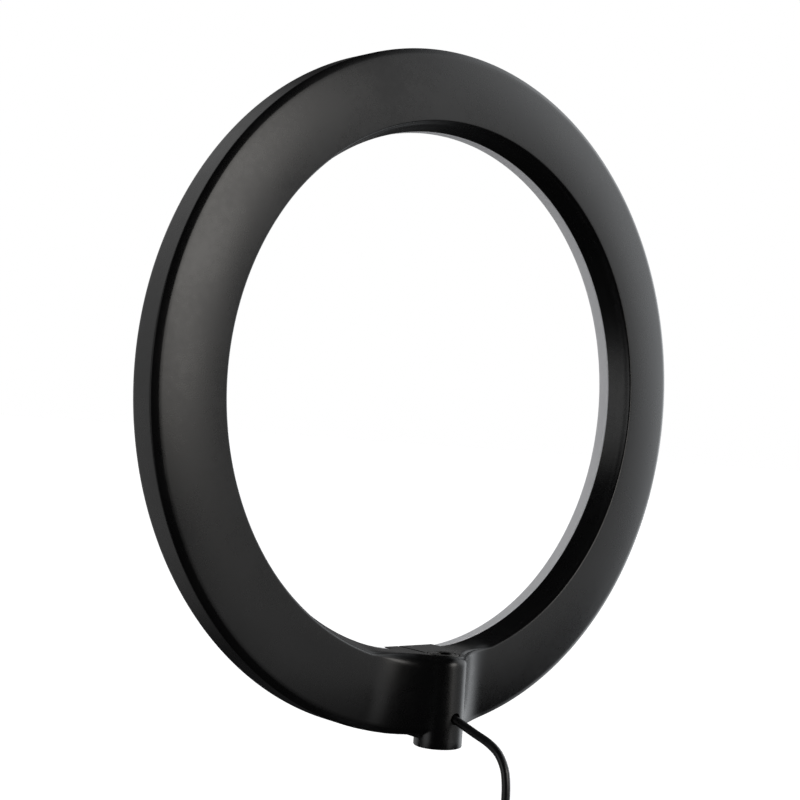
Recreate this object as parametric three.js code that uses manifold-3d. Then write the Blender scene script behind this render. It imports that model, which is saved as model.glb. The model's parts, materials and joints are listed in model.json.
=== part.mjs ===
// Ring light, 26 cm class: a black ring housing with a milky diffuser, two half-ring LED boards, a rear
// column with threaded inserts for a stand and a phone holder, and a USB cable with an in-line controller.
// Millimetres, +Z up. The light faces -Y. The origin is the mouth of the stand socket, on the column's axis.

import * as THREE from 'three';
import { mergeVertices } from 'three/addons/utils/BufferGeometryUtils.js';
import Module from 'manifold-3d';

const wasm = await Module();
wasm.setup();

// ---- Driving dimensions -------------------------------------------------------------------------------

const GAP = 0.3;                 // clearance between two pieces that touch

const RING_OUTER_R = 130;
const RING_INNER_R = 99.6;       // at the front edge
const RING_DEPTH = 15.6;         // at the crest of the domed back
const FRONT_Y = -21;             // plane of the ring's front edge
const RING_Z = 132.8;            // height of the ring's centre above the socket mouth
const BACK_Y = FRONT_Y + RING_DEPTH;
const WALL = 2;
const RIM_R = 102.5;             // the inner wall widens towards the back
const CROWN = 0.005;             // the back falls away by this times the squared distance from its crest
const CREST_R = 104.5;
const CAVITY_DEPTH = 12;
const BOSS_BASE_Y = BACK_Y - 3.4;   // the column's fillets start here, inside the domed back
const RING_SEGMENTS = 64;

const DIFFUSER_WRAP = 5.6;       // depth of the diffuser's inner wall
const DIFFUSER_THICKNESS = 1.8;
const BOARD_FRONT = 8.8;         // depth of the boards' front face
const BOARD_THICKNESS = 1.2;
const BOARD_INNER_R = 104.4;
const BOARD_OUTER_R = 124.6;
const LED_ROWS = [108.2, 119];   // radii of the two LED rows
const LEDS_PER_HALF_ROW = 20;
const LED_SIZE = [3.5, 2.8, 0.8];
const SCREW_CIRCLE_R = 113.6;
const SCREWS_PER_HALF = 3;

const COLUMN_R = 9.15;
const FILLET_R = 27;             // plan radius of the concave fillets beside the column
const BOSS_LIMIT_R = 128.6;      // the fillets end just inside the ring's outer edge
const PLATFORM_DROP = 98.5;      // platform height below the ring's centre
const PLATFORM_Z = RING_Z - PLATFORM_DROP;
const PLATFORM_FLAT = 10;        // half width of the platform's level part
const PLATFORM_HALF = 21;        // half width of the whole platform
const SHELF_HALF = 12;           // half width of its front part, which lies over the diffuser's wall
const SEAM_X = 5;                // moulding seam across the platform

const THREAD_R = 3.175;          // 1/4 inch screw, thread left out
const INSERT_R = 5.2;
const INSERT_HEIGHT = 7;
const COLLAR_R = 6;
const COLLAR_HEIGHT = 1.2;
const COLLAR_PROUD = 0.2;        // how far the collar stands out of its counterbore
const CHANNEL_R = 5.2;           // wire channel inside the column
const CHANNEL_BOTTOM = 8.2;
const CHANNEL_TOP = 25.6;

const CORD_R = 1.6;
const EXIT_Z = 11.5;
const EXIT_HOLE_R = 2.2;
const LEAD_R = 0.5;

const SURFACE_Z = -75;           // what the cable, controller and plug lie on
const CORD_SIDES = 8;
const TIE_THICKNESS = 0.7;
const TURN_PITCH = 3.3;          // distance between neighbouring turns
const TURN_ROWS = 4;
const TURN_COLUMNS = 3;
const TURN_OUTER_R = 23.6;
const COIL_X = -55;
const COIL_Y = 16.4;
const COIL_BASE = SURFACE_Z + TIE_THICKNESS + GAP;

const CONTROLLER = { x: 46, y: COIL_Y - TURN_OUTER_R, length: 64, width: 20, height: 11.5, wall: 1.6 };
const PARTING_Z = 5.75;          // controller's parting line above the surface
const BUTTON_R = 3;
const BUTTON_PITCH = 12;
const BUTTON_PROUD = 0.8;
const BUTTON_TRAVEL = 0.5;
const RELIEF_LENGTH = 12;

const PLUG_Y = 27;
const PLUG_END_X = 34;           // where the cable enters the plug's relief
const PLUG_SIZE = { relief: 10, body: 22, shell: 12, width: 16, height: 8 };

// ---- Materials ----------------------------------------------------------------------------------------

function finish(color, roughness, metalness = 0) {
  return new THREE.MeshStandardMaterial({ color, roughness, metalness });
}

const HOUSING_BLACK = () => finish(0x17181a, 0.42);
const MILKY = () => finish(0xe9e9e6, 0.55);
const BOARD_WHITE = () => finish(0xf2f1ec, 0.6);
const BRASS = () => finish(0xb08d4a, 0.35, 1);
const STEEL = () => finish(0xb9bcc0, 0.3, 1);
const JACKET_BLACK = () => finish(0x101011, 0.5);
const RUBBER_GREY = () => finish(0x3a3b3e, 0.7);
const BOARD_GREEN = () => finish(0x1c5a34, 0.5);

// ---- Shape helpers ------------------------------------------------------------------------------------

function toSolid(geometry) {
  const bare = geometry.index ? geometry.clone() : geometry;
  bare.deleteAttribute('normal');
  bare.deleteAttribute('uv');
  const merged = mergeVertices(bare, 1e-4);
  return new wasm.Manifold(new wasm.Mesh({
    numProp: 3,
    vertProperties: new Float32Array(merged.attributes.position.array),
    triVerts: new Uint32Array(merged.index.array),
  }));
}

function toGeometry(solid) {
  const mesh = solid.getMesh();
  const geometry = new THREE.BufferGeometry();
  geometry.setAttribute('position', new THREE.BufferAttribute(new Float32Array(mesh.vertProperties), 3));
  geometry.setIndex(new THREE.BufferAttribute(new Uint32Array(mesh.triVerts), 1));
  geometry.computeVertexNormals();
  return geometry;
}

function join(first, ...others) {
  return others.reduce((sum, other) => sum.add(toSolid(other)), toSolid(first));
}

// Points along an arc in a profile, angles in degrees.
function arc(cx, cy, radius, from, to, steps) {
  return Array.from({ length: steps + 1 }, (_, i) => {
    const angle = THREE.MathUtils.degToRad(from + ((to - from) * i) / steps);
    return [cx + radius * Math.cos(angle), cy + radius * Math.sin(angle)];
  });
}

// A closed [radius, height] profile, counterclockwise, turned around the Y axis.
function turned(profile, segments) {
  const points = [...profile, profile[0]].map(([r, h]) => new THREE.Vector2(r, h));
  return new THREE.LatheGeometry(points, segments);
}

// The same, around the Z axis.
function turnedUpright(profile, segments) {
  return turned(profile, segments).rotateX(Math.PI / 2);
}

// A ring-shaped piece: profile radii from the ring's axis, heights as depths behind the front edge.
function ringPiece(profile) {
  return turned(profile, RING_SEGMENTS).translate(0, FRONT_Y, RING_Z);
}

function block(x0, x1, y0, y1, z0, z1) {
  const box = new THREE.BoxGeometry(x1 - x0, y1 - y0, z1 - z0);
  return box.translate((x0 + x1) / 2, (y0 + y1) / 2, (z0 + z1) / 2);
}

function rodZ(x, y, radius, z0, z1, sides = 24) {
  const rod = new THREE.CylinderGeometry(radius, radius, z1 - z0, sides).rotateX(Math.PI / 2);
  return rod.translate(x, y, (z0 + z1) / 2);
}

function rodY(x, z, radius, y0, y1, sides = 24) {
  const rod = new THREE.CylinderGeometry(radius, radius, y1 - y0, sides);
  return rod.translate(x, (y0 + y1) / 2, z);
}

function rodX(y, z, radius, x0, x1, sides = 24) {
  const rod = new THREE.CylinderGeometry(radius, radius, x1 - x0, sides).rotateZ(Math.PI / 2);
  return rod.translate((x0 + x1) / 2, y, z);
}

function extruded(shape, depth, curveSegments = 12) {
  return new THREE.ExtrudeGeometry(shape, { depth, bevelEnabled: false, curveSegments });
}

function roundedRectangle(width, height, radius) {
  const [w, h] = [width / 2, height / 2];
  const shape = new THREE.Shape();
  shape.moveTo(-w + radius, -h);
  shape.absarc(w - radius, -h + radius, radius, -Math.PI / 2, 0);
  shape.absarc(w - radius, h - radius, radius, 0, Math.PI / 2);
  shape.absarc(-w + radius, h - radius, radius, Math.PI / 2, Math.PI);
  shape.absarc(-w + radius, -h + radius, radius, Math.PI, Math.PI * 1.5);
  return shape;
}

// A round cable through hand-placed points.
function cable(points, radius, steps, sides = CORD_SIDES) {
  const curve = new THREE.CatmullRomCurve3(points.map((p) => new THREE.Vector3(...p)), false, 'centripetal');
  const section = new THREE.Shape();
  for (let i = 0; i < sides; i += 1) {
    const angle = (2 * Math.PI * i) / sides;
    section[i ? 'lineTo' : 'moveTo'](radius * Math.cos(angle), radius * Math.sin(angle));
  }
  return new THREE.ExtrudeGeometry(section, { steps, extrudePath: curve, bevelEnabled: false });
}

// Places on the screw circle, as [x, z], degrees from +X, spread over one half of the ring.
function screwPlaces(side) {
  return Array.from({ length: SCREWS_PER_HALF }, (_, i) => {
    const angle = THREE.MathUtils.degToRad(-90 + (180 * (i + 0.5)) / SCREWS_PER_HALF);
    return [side * SCREW_CIRCLE_R * Math.cos(angle), RING_Z + SCREW_CIRCLE_R * Math.sin(angle)];
  });
}

const SCREW_PLACES = [...screwPlaces(1), ...screwPlaces(-1)];

// ---- Housing and diffuser -----------------------------------------------------------------------------

function housingShell() {
  const inside = RING_OUTER_R - WALL - 0.2;
  const innerInside = RING_INNER_R + WALL;
  const back = (radius) => [radius, RING_DEPTH - CROWN * (radius - CREST_R) ** 2];
  return ringPiece([
    [RING_OUTER_R - 0.4, 0], [RING_OUTER_R, 0.4], [RING_OUTER_R, 11.3], [RING_OUTER_R - 0.3, 11.8],
    back(127.6), back(124), back(119), back(113), back(108), back(CREST_R),
    [RIM_R + 0.7, RING_DEPTH], [RIM_R, RING_DEPTH - 0.7],
    [RING_INNER_R, DIFFUSER_WRAP + GAP], [innerInside, DIFFUSER_WRAP + GAP],
    [innerInside, 7.5], [innerInside + 1.6, 9.5], [innerInside + 2.3, 11.3], [innerInside + 3, CAVITY_DEPTH],
    [114, 11.9], [121, 11.5], [125.6, 10.9], [inside, 9.4], [inside, 0],
  ]);
}

// Plan outline of the column with a concave fillet to the ring's back on each side.
function bossOutline() {
  const filletY = BOSS_BASE_Y + FILLET_R;
  const filletX = Math.sqrt((COLUMN_R + FILLET_R) ** 2 - filletY ** 2);
  const touch = Math.atan2(filletY, filletX);
  const shape = new THREE.Shape();
  shape.moveTo(-filletX, BOSS_BASE_Y - 0.2);
  shape.lineTo(filletX, BOSS_BASE_Y - 0.2);
  shape.absarc(filletX, filletY, FILLET_R, -Math.PI / 2, touch - Math.PI, true);
  shape.absarc(0, 0, COLUMN_R, touch, Math.PI - touch, false);
  shape.absarc(-filletX, filletY, FILLET_R, -touch, -Math.PI / 2, true);
  return shape;
}

// The platform fills the bottom of the opening: level in the middle, curving up into the inner wall.
function platformOutline(innerRadius, halfWidth) {
  const spare = RING_INNER_R - PLATFORM_DROP;
  const rise = (RING_INNER_R ** 2 - PLATFORM_FLAT ** 2 - PLATFORM_DROP ** 2) / (2 * spare);
  const sweep = Math.asin((halfWidth - PLATFORM_FLAT) / rise);
  const shape = new THREE.Shape();
  const foot = Math.acos(halfWidth / innerRadius);
  shape.absarc(0, 0, innerRadius, Math.PI + foot, 2 * Math.PI - foot, false);
  shape.absarc(PLATFORM_FLAT, rise - PLATFORM_DROP, rise, -Math.PI / 2 + sweep, -Math.PI / 2, true);
  shape.absarc(-PLATFORM_FLAT, rise - PLATFORM_DROP, rise, -Math.PI / 2, -Math.PI / 2 - sweep, true);
  return shape;
}

function platformBlock(innerRadius, halfWidth, depth0, depth1) {
  const slab = extruded(platformOutline(innerRadius, halfWidth), depth1 - depth0, 5);
  return slab.rotateX(Math.PI / 2).translate(0, FRONT_Y + depth1, RING_Z);
}

function rearHousing() {
  const boss = toSolid(extruded(bossOutline(), PLATFORM_Z, 6))
    .intersect(toSolid(rodY(0, RING_Z, BOSS_LIMIT_R, FRONT_Y, COLUMN_R + 1, RING_SEGMENTS)));
  const cavityY = FRONT_Y + CAVITY_DEPTH;
  const screwBosses = SCREW_PLACES.map(([x, z]) => rodY(x, z, 2.6, FRONT_Y + 10.3, cavityY + 0.3, 8));
  let solid = join(
    housingShell(),
    rodZ(0, 0, COLUMN_R, 0, PLATFORM_Z, 32),
    platformBlock(RING_INNER_R - GAP, SHELF_HALF, 0, DIFFUSER_WRAP + 0.5),
    platformBlock(RING_INNER_R + 1, PLATFORM_HALF, DIFFUSER_WRAP + GAP, 8.5),
    platformBlock(RIM_R - 0.3, PLATFORM_HALF, 8, RING_DEPTH + 0.3),
    ...screwBosses,
  ).add(boss);
  const cuts = [
    rodZ(0, 0, INSERT_R + GAP, -1, INSERT_HEIGHT + GAP),
    rodZ(0, 0, INSERT_R + GAP, PLATFORM_Z - INSERT_HEIGHT - GAP, PLATFORM_Z + 1),
    rodZ(0, 0, COLLAR_R + GAP, PLATFORM_Z + COLLAR_PROUD - COLLAR_HEIGHT - GAP, PLATFORM_Z + 1, 32),
    rodZ(0, 0, CHANNEL_R, CHANNEL_BOTTOM, CHANNEL_TOP),
    rodY(0, EXIT_Z, EXIT_HOLE_R, 0, COLUMN_R + 1, 16),
    block(-4, 4, cavityY - 0.5, 0, 14, 22),
    block(SEAM_X - 0.3, SEAM_X + 0.3, FRONT_Y - 1, BACK_Y + 2, PLATFORM_Z - 0.5, PLATFORM_Z + 1),
    ...SCREW_PLACES.map(([x, z]) => rodY(x, z, 1.1, FRONT_Y + 9, cavityY + 1, 6)),
  ];
  for (const cut of cuts) solid = solid.subtract(toSolid(cut));
  return toGeometry(solid);
}

function diffuser() {
  const outside = RING_OUTER_R - WALL - 0.2 - GAP;
  const tongue = RING_INNER_R + WALL + GAP;
  return ringPiece([
    [RING_INNER_R + 1.2, 0], [outside - 0.8, 0], [outside, 0.8], [outside, 5],
    [outside - 1.8, 5], [outside - 1.8, DIFFUSER_THICKNESS], [tongue + 1.4, DIFFUSER_THICKNESS],
    [tongue + 1.4, 7.4], [tongue, 7.4], [tongue, DIFFUSER_WRAP], [RING_INNER_R, DIFFUSER_WRAP],
    [RING_INNER_R, 1.2],
  ]);
}

// ---- Boards, screws and leads -------------------------------------------------------------------------

// One half-ring board with its LEDs soldered on; side is 1 for +X and -1 for -X.
function ledBoard(side) {
  const endAngle = Math.PI / 2 - 0.008;
  const outline = new THREE.Shape();
  outline.absarc(0, 0, BOARD_OUTER_R, -endAngle, endAngle, false);
  outline.absarc(0, 0, BOARD_INNER_R, endAngle, -endAngle, true);
  const plate = extruded(outline, BOARD_THICKNESS, 36).rotateX(Math.PI / 2);
  plate.translate(0, FRONT_Y + BOARD_FRONT + BOARD_THICKNESS, RING_Z);
  let solid = toSolid(plate);
  for (const radius of LED_ROWS) {
    for (let i = 0; i < LEDS_PER_HALF_ROW; i += 1) {
      const angle = -Math.PI / 2 + (Math.PI * (i + 0.5)) / LEDS_PER_HALF_ROW;
      const led = new THREE.BoxGeometry(LED_SIZE[1], LED_SIZE[2] + 0.2, LED_SIZE[0]);
      led.translate(radius, FRONT_Y + BOARD_FRONT - LED_SIZE[2] / 2 + 0.1, 0).rotateY(-angle);
      solid = solid.add(toSolid(led.translate(0, 0, RING_Z)));
    }
  }
  for (const [x, z] of screwPlaces(1)) {
    solid = solid.subtract(toSolid(rodY(x, z, 1.3, FRONT_Y, BACK_Y, 8)));
  }
  return toGeometry(side > 0 ? solid : solid.mirror([1, 0, 0]));
}

function panHeadScrew(headR, headHeight, shankR, length) {
  return turned([
    [0, 0], [headR * 0.75, 0], [headR, headHeight * 0.5], [headR, headHeight], [shankR, headHeight],
    [shankR, headHeight + length - shankR], [0, headHeight + length],
  ], 8);
}

function boardScrew(x, z) {
  return panHeadScrew(2, 1.2, 0.75, 4).translate(x, FRONT_Y + BOARD_FRONT - GAP - 1.2, z);
}

function standInsert() {
  return turnedUpright([
    [THREAD_R, 0], [INSERT_R - 0.4, 0], [INSERT_R, 0.4], [INSERT_R, 3], [INSERT_R - 0.6, 3.5],
    [INSERT_R, 4], [INSERT_R, INSERT_HEIGHT], [THREAD_R, INSERT_HEIGHT],
  ], 16);
}

function holderInsert() {
  const [top, base] = [COLLAR_PROUD, COLLAR_PROUD - COLLAR_HEIGHT];
  return turnedUpright([
    [THREAD_R, -INSERT_HEIGHT], [INSERT_R - 0.2, -INSERT_HEIGHT], [INSERT_R - 0.2, base], [COLLAR_R, base],
    [COLLAR_R, top - 0.3], [COLLAR_R - 0.3, top], [THREAD_R, top],
  ], 16).translate(0, 0, PLATFORM_Z);
}

function cableStop() {
  return turned([[CORD_R + GAP, 1], [2.8, 1], [2.8, 3], [CORD_R + GAP, 3]], 12).translate(0, 0, EXIT_Z);
}

// A conductor from the cable's inner end, through the slot, to a pad behind the left board.
function lead(index) {
  const spread = index - 1;
  return cable([
    [spread * 1.2, 0.2, EXIT_Z], [spread * 1.3, -3, EXIT_Z + 2.4], [spread * 1.4, -6.6, 16.6],
    [1.4 + spread * 1.4, -9.4, 18.8], [4 + spread * 2.2, -10.15, 20.6], [5.6 + spread * 2.6, -10.15, 22.7],
  ], LEAD_R, 14, 6);
}

function jumper(index) {
  const z = 23.9 + index * 1.3;
  return cable([[3.6, -10.15, z], [0, -9.85, z], [-3.6, -10.15, z]], LEAD_R, 6, 6);
}

// ---- Cable --------------------------------------------------------------------------------------------

const CORD_Z = SURFACE_Z + CORD_R;
const CONTROLLER_X0 = CONTROLLER.x - CONTROLLER.length / 2;
const CONTROLLER_X1 = CONTROLLER.x + CONTROLLER.length / 2;
const CONTROLLER_AXIS_Z = SURFACE_Z + PARTING_Z;
const PLUG_AXIS_Z = SURFACE_Z + PLUG_SIZE.height / 2;

// Back out of the column and slightly down, over in a free bend, and along the surface to the coil.
const DROP_ROUTE = [
  [0, 1, EXIT_Z], [0, 4.5, EXIT_Z], [0, COLUMN_R, 11.1], [0, 14, 9.8], [0, 20, 8.2], [0, 27.5, 6.2],
  [0, 32.7, 3.5], [0, 36.2, -1.1], [0, 37.5, -6.4], [0, 37.9, -16], [0, 38.3, -28], [0, 38.7, -42],
  [-0.6, 39.1, -54], [-3.4, 39.6, -63.6],
  [-9.4, 40, -70], [-18, 40, -73], [-30, 40, -72.7], [-41.4, 40, -72.4],
];

// Off the top of the coil and down to the controller.
const LINK_ROUTE = [
  [-41.4, COIL_Y - TURN_OUTER_R, -63.2], [-31, COIL_Y - TURN_OUTER_R, -65.6],
  [-19, COIL_Y - TURN_OUTER_R, -68.3], [-8, COIL_Y - TURN_OUTER_R, -69.25],
  [CONTROLLER_X0 - RELIEF_LENGTH - GAP, COIL_Y - TURN_OUTER_R, CONTROLLER_AXIS_Z],
];

// Out of the controller, down to the surface, round in a wide bend and back to the plug.
const TAIL_ROUTE = [
  [CONTROLLER_X1 + RELIEF_LENGTH + GAP, COIL_Y - TURN_OUTER_R, CONTROLLER_AXIS_Z], [98, -7, -70.4],
  [106, -5, -72.4], [114, -0.6, CORD_Z], [119, 6, CORD_Z], [120.4, 13.6, CORD_Z], [117, 20.8, CORD_Z],
  [109.6, 25.6, CORD_Z], [100, 27.6, CORD_Z], [86, 28, CORD_Z], [72, 27.6, CORD_Z], [58, 27, CORD_Z + 0.3],
  [46, 27, -72], [PLUG_END_X + GAP, PLUG_Y, PLUG_AXIS_Z],
];

function cordCoil() {
  const outer = TURN_OUTER_R + CORD_R + 0.2;
  const inner = TURN_OUTER_R - (TURN_COLUMNS - 1) * TURN_PITCH - CORD_R - 0.2;
  const height = (TURN_ROWS - 1) * TURN_PITCH + 2 * CORD_R;
  return turnedUpright([
    [inner, 1.2], [inner + 1.2, 0], [outer - 1.2, 0], [outer, 1.2], [outer, height - 1.2],
    [outer - 1.2, height], [inner + 1.2, height], [inner, height - 1.2],
  ], 32).translate(COIL_X, COIL_Y, COIL_BASE);
}

// A strap wrapped once round the coil's turns, on the side away from the cable's ends.
function coilTie() {
  const bulge = 0.7;             // the turns curve towards the strap's inner side
  const middle = TURN_OUTER_R - ((TURN_COLUMNS - 1) * TURN_PITCH + bulge) / 2;
  const width = (TURN_COLUMNS - 1) * TURN_PITCH + 2 * (CORD_R + 0.2 + GAP) + bulge;
  const height = (TURN_ROWS - 1) * TURN_PITCH + 2 * (CORD_R + GAP);
  const outline = roundedRectangle(width + 2 * TIE_THICKNESS, height + 2 * TIE_THICKNESS, 1.4);
  outline.holes.push(roundedRectangle(width, height, 0.7));
  const strap = extruded(outline, 8, 3).rotateX(Math.PI / 2);
  return strap.translate(COIL_X - middle, COIL_Y + 4, SURFACE_Z + TIE_THICKNESS + height / 2);
}

// ---- In-line controller -------------------------------------------------------------------------------

function controllerBox(length, width, z0, z1, radius) {
  const slab = extruded(roundedRectangle(length, width, radius), z1 - z0, 3);
  return slab.translate(CONTROLLER.x, CONTROLLER.y, SURFACE_Z + z0);
}

function reliefBore() {
  return rodX(CONTROLLER.y, CONTROLLER_AXIS_Z, 2.6, CONTROLLER_X0 - 2, CONTROLLER_X1 + 2, 16);
}

function buttonX(index) {
  return CONTROLLER.x + (index - 1.5) * BUTTON_PITCH;
}

function controllerBottom() {
  const { length, width, wall } = CONTROLLER;
  let solid = toSolid(controllerBox(length, width, 0, PARTING_Z - GAP / 2, 4));
  const room = controllerBox(length - 2 * wall, width - 2 * wall, wall, PARTING_Z + 1, 2.4);
  solid = solid.subtract(toSolid(room));
  for (const x of [CONTROLLER_X0 + 4.2, CONTROLLER_X1 - 4.2]) {
    solid = solid.add(toSolid(rodZ(x, CONTROLLER.y + 5.6, 2, SURFACE_Z + 1, SURFACE_Z + PARTING_Z - 1, 12)));
    solid = solid.subtract(toSolid(rodZ(x, CONTROLLER.y + 5.6, 1.1, SURFACE_Z - 1, SURFACE_Z + 8, 10)));
    solid = solid.subtract(toSolid(rodZ(x, CONTROLLER.y + 5.6, 1.9, SURFACE_Z - 1, SURFACE_Z + 1.1, 12)));
  }
  return toGeometry(solid.subtract(toSolid(reliefBore())));
}

function controllerTop() {
  const { length, width, height, wall } = CONTROLLER;
  let solid = toSolid(controllerBox(length, width, PARTING_Z + GAP / 2, height - 1, 4));
  solid = solid.add(toSolid(controllerBox(length - 1.6, width - 1.6, height - 1, height, 3.4)));
  const room = controllerBox(length - 2 * wall, width - 2 * wall, 0, height - wall, 2.4);
  solid = solid.subtract(toSolid(room));
  for (let i = 0; i < 4; i += 1) {
    const hole = rodZ(buttonX(i), CONTROLLER.y, BUTTON_R + GAP, SURFACE_Z + 5, SURFACE_Z + height + 1, 16);
    solid = solid.subtract(toSolid(hole));
  }
  for (const x of [CONTROLLER_X0 + 4.2, CONTROLLER_X1 - 4.2]) {
    const post = rodZ(x, CONTROLLER.y + 5.6, 2, SURFACE_Z + PARTING_Z + 1, SURFACE_Z + height - 1, 12);
    solid = solid.add(toSolid(post));
    solid = solid.subtract(toSolid(rodZ(x, CONTROLLER.y + 5.6, 1, SURFACE_Z + 5, SURFACE_Z + 9, 10)));
  }
  return toGeometry(solid.subtract(toSolid(reliefBore())));
}

function controllerBoard() {
  const half = CONTROLLER.length / 2 - 7;
  const y = CONTROLLER.y;
  return block(CONTROLLER.x - half, CONTROLLER.x + half, y - 7.4, y + 7.4, SURFACE_Z + 2.4, SURFACE_Z + 3.6);
}

function tactSwitch(index) {
  const [x, y, z] = [buttonX(index), CONTROLLER.y, SURFACE_Z + 3.6 + GAP];
  return toGeometry(join(
    block(x - 2.6, x + 2.6, y - 2.6, y + 2.6, z, z + 2.2),
    rodZ(x, y, 1.4, z + 2, z + 2.8, 12),
  ));
}

function button(index) {
  const top = CONTROLLER.height + BUTTON_PROUD;
  const flange = CONTROLLER.height - CONTROLLER.wall - GAP;
  const foot = 3.6 + GAP + 2.8 + BUTTON_TRAVEL + GAP;
  return turnedUpright([
    [0, foot], [1.3, foot], [1.3, flange - 0.8], [BUTTON_R + 0.9, flange - 0.8], [BUTTON_R + 0.9, flange],
    [BUTTON_R, flange], [BUTTON_R, top - 0.4], [BUTTON_R - 0.4, top], [0, top],
  ], 12).translate(buttonX(index), CONTROLLER.y, SURFACE_Z);
}

function controllerScrew(x) {
  const screw = panHeadScrew(1.6, 0.9, 0.7, 6).rotateX(Math.PI / 2);
  return screw.translate(x, CONTROLLER.y + 5.6, SURFACE_Z + 0.05);
}

// Tapered strain relief on the cable, with a neck through the shells' end wall and a collar inside.
function relief(direction) {
  const wall = CONTROLLER.wall;
  const sleeve = turned([
    [CORD_R + GAP, -RELIEF_LENGTH], [CORD_R + 0.9, -RELIEF_LENGTH], [3.1, -GAP], [2.3, -GAP],
    [2.3, wall + GAP], [3.2, wall + GAP], [3.2, wall + 1.8], [CORD_R + GAP, wall + 1.8],
  ], 12).rotateZ(-Math.PI / 2);
  if (direction < 0) sleeve.rotateZ(Math.PI);
  return sleeve.translate(direction > 0 ? CONTROLLER_X0 : CONTROLLER_X1, CONTROLLER.y, CONTROLLER_AXIS_Z);
}

// ---- USB plug, pointing to -X -------------------------------------------------------------------------

function plugRelief() {
  const sleeve = turned([
    [0, 0], [CORD_R + 0.7, 0], [3, PLUG_SIZE.relief - GAP], [0, PLUG_SIZE.relief - GAP],
  ], 16).rotateZ(Math.PI / 2);
  return sleeve.translate(PLUG_END_X, PLUG_Y, PLUG_AXIS_Z);
}

function plugSlab(width, height, radius, x0, x1) {
  const slab = extruded(roundedRectangle(width, height, radius), x1 - x0, 3);
  slab.rotateZ(Math.PI / 2).rotateY(Math.PI / 2);
  return slab.translate(x0, PLUG_Y, PLUG_AXIS_Z);
}

const PLUG_X1 = PLUG_END_X - PLUG_SIZE.relief;
const PLUG_X0 = PLUG_X1 - PLUG_SIZE.body;
const SHELL_X0 = PLUG_X0 - PLUG_SIZE.shell;

function usbOvermould() {
  const body = toSolid(plugSlab(PLUG_SIZE.width, PLUG_SIZE.height, 2, PLUG_X0, PLUG_X1));
  return toGeometry(body.subtract(toSolid(plugSlab(12.6, 5.1, 0.4, PLUG_X0 - 1, PLUG_X0 + 5))));
}

function usbShell() {
  const tube = toSolid(plugSlab(12, 4.5, 0.5, SHELL_X0, PLUG_X0 + 4.7));
  return toGeometry(tube.subtract(toSolid(plugSlab(11.4, 3.9, 0.3, SHELL_X0 - 1, PLUG_X0 + 6))));
}

function usbTongue() {
  const [y, z] = [PLUG_Y, PLUG_AXIS_Z];
  return block(SHELL_X0 + 0.6, PLUG_X0 + 4.4, y - 5.3, y + 5.3, z - 1.6, z + 0.1);
}

// ---- Assembly -----------------------------------------------------------------------------------------

const ringLight = new THREE.Group();

function add(name, geometry, material) {
  const mesh = new THREE.Mesh(geometry, material);
  mesh.name = name;
  ringLight.add(mesh);
}

add('rear_housing', rearHousing(), HOUSING_BLACK());
add('diffuser', diffuser(), MILKY());
add('led_board_left', ledBoard(1), BOARD_WHITE());
add('led_board_right', ledBoard(-1), BOARD_WHITE());
SCREW_PLACES.forEach(([x, z], i) => add(`board_screw_${i + 1}`, boardScrew(x, z), STEEL()));
add('stand_insert', standInsert(), BRASS());
add('holder_insert', holderInsert(), BRASS());
add('cable_stop', cableStop(), JACKET_BLACK());
['common', 'warm', 'cool'].forEach((name, i) => {
  add(`lead_${name}`, lead(i), finish([0xa01818, 0xc8a020, 0xd8d8d8][i], 0.5));
  add(`jumper_${name}`, jumper(i), finish([0xa01818, 0xc8a020, 0xd8d8d8][i], 0.5));
});

add('cord_drop', cable(DROP_ROUTE, CORD_R, 26), JACKET_BLACK());
add('cord_coil', cordCoil(), JACKET_BLACK());
add('coil_tie', coilTie(), RUBBER_GREY());
add('cord_link', cable(LINK_ROUTE, CORD_R, 8), JACKET_BLACK());
add('cord_tail', cable(TAIL_ROUTE, CORD_R, 28), JACKET_BLACK());

add('controller_bottom', controllerBottom(), HOUSING_BLACK());
add('controller_top', controllerTop(), HOUSING_BLACK());
add('controller_board', controllerBoard(), BOARD_GREEN());
['power', 'colour', 'brighter', 'dimmer'].forEach((name, i) => {
  add(`switch_${name}`, tactSwitch(i), STEEL());
  add(`button_${name}`, button(i), RUBBER_GREY());
});
add('controller_screw_1', controllerScrew(CONTROLLER_X0 + 4.2), STEEL());
add('controller_screw_2', controllerScrew(CONTROLLER_X1 - 4.2), STEEL());
add('relief_in', relief(1), JACKET_BLACK());
add('relief_out', relief(-1), JACKET_BLACK());

add('plug_relief', plugRelief(), JACKET_BLACK());
add('usb_overmould', usbOvermould(), JACKET_BLACK());
add('usb_shell', usbShell(), STEEL());
add('usb_tongue', usbTongue(), MILKY());

export default ringLight;
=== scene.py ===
"""Ring light seen from behind: the looks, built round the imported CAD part. Lengths are in millimetres
up to mesh making, which turns them into metres in the part's own frame."""

import json
import math

import bmesh
import bpy
import numpy as np
from mathutils import Matrix, Vector


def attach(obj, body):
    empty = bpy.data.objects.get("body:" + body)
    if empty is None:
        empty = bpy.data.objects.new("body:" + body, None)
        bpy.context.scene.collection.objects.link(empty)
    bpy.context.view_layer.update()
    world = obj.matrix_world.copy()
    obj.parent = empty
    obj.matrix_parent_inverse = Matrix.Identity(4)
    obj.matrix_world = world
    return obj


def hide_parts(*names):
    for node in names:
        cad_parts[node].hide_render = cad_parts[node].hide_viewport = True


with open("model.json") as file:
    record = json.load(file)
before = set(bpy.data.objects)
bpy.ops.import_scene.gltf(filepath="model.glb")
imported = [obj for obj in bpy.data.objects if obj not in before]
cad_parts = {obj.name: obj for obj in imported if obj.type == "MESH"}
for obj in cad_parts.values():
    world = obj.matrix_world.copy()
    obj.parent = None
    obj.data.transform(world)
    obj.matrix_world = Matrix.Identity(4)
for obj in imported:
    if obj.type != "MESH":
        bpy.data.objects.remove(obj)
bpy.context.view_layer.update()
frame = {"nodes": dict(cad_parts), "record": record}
MM = 0.001
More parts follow.
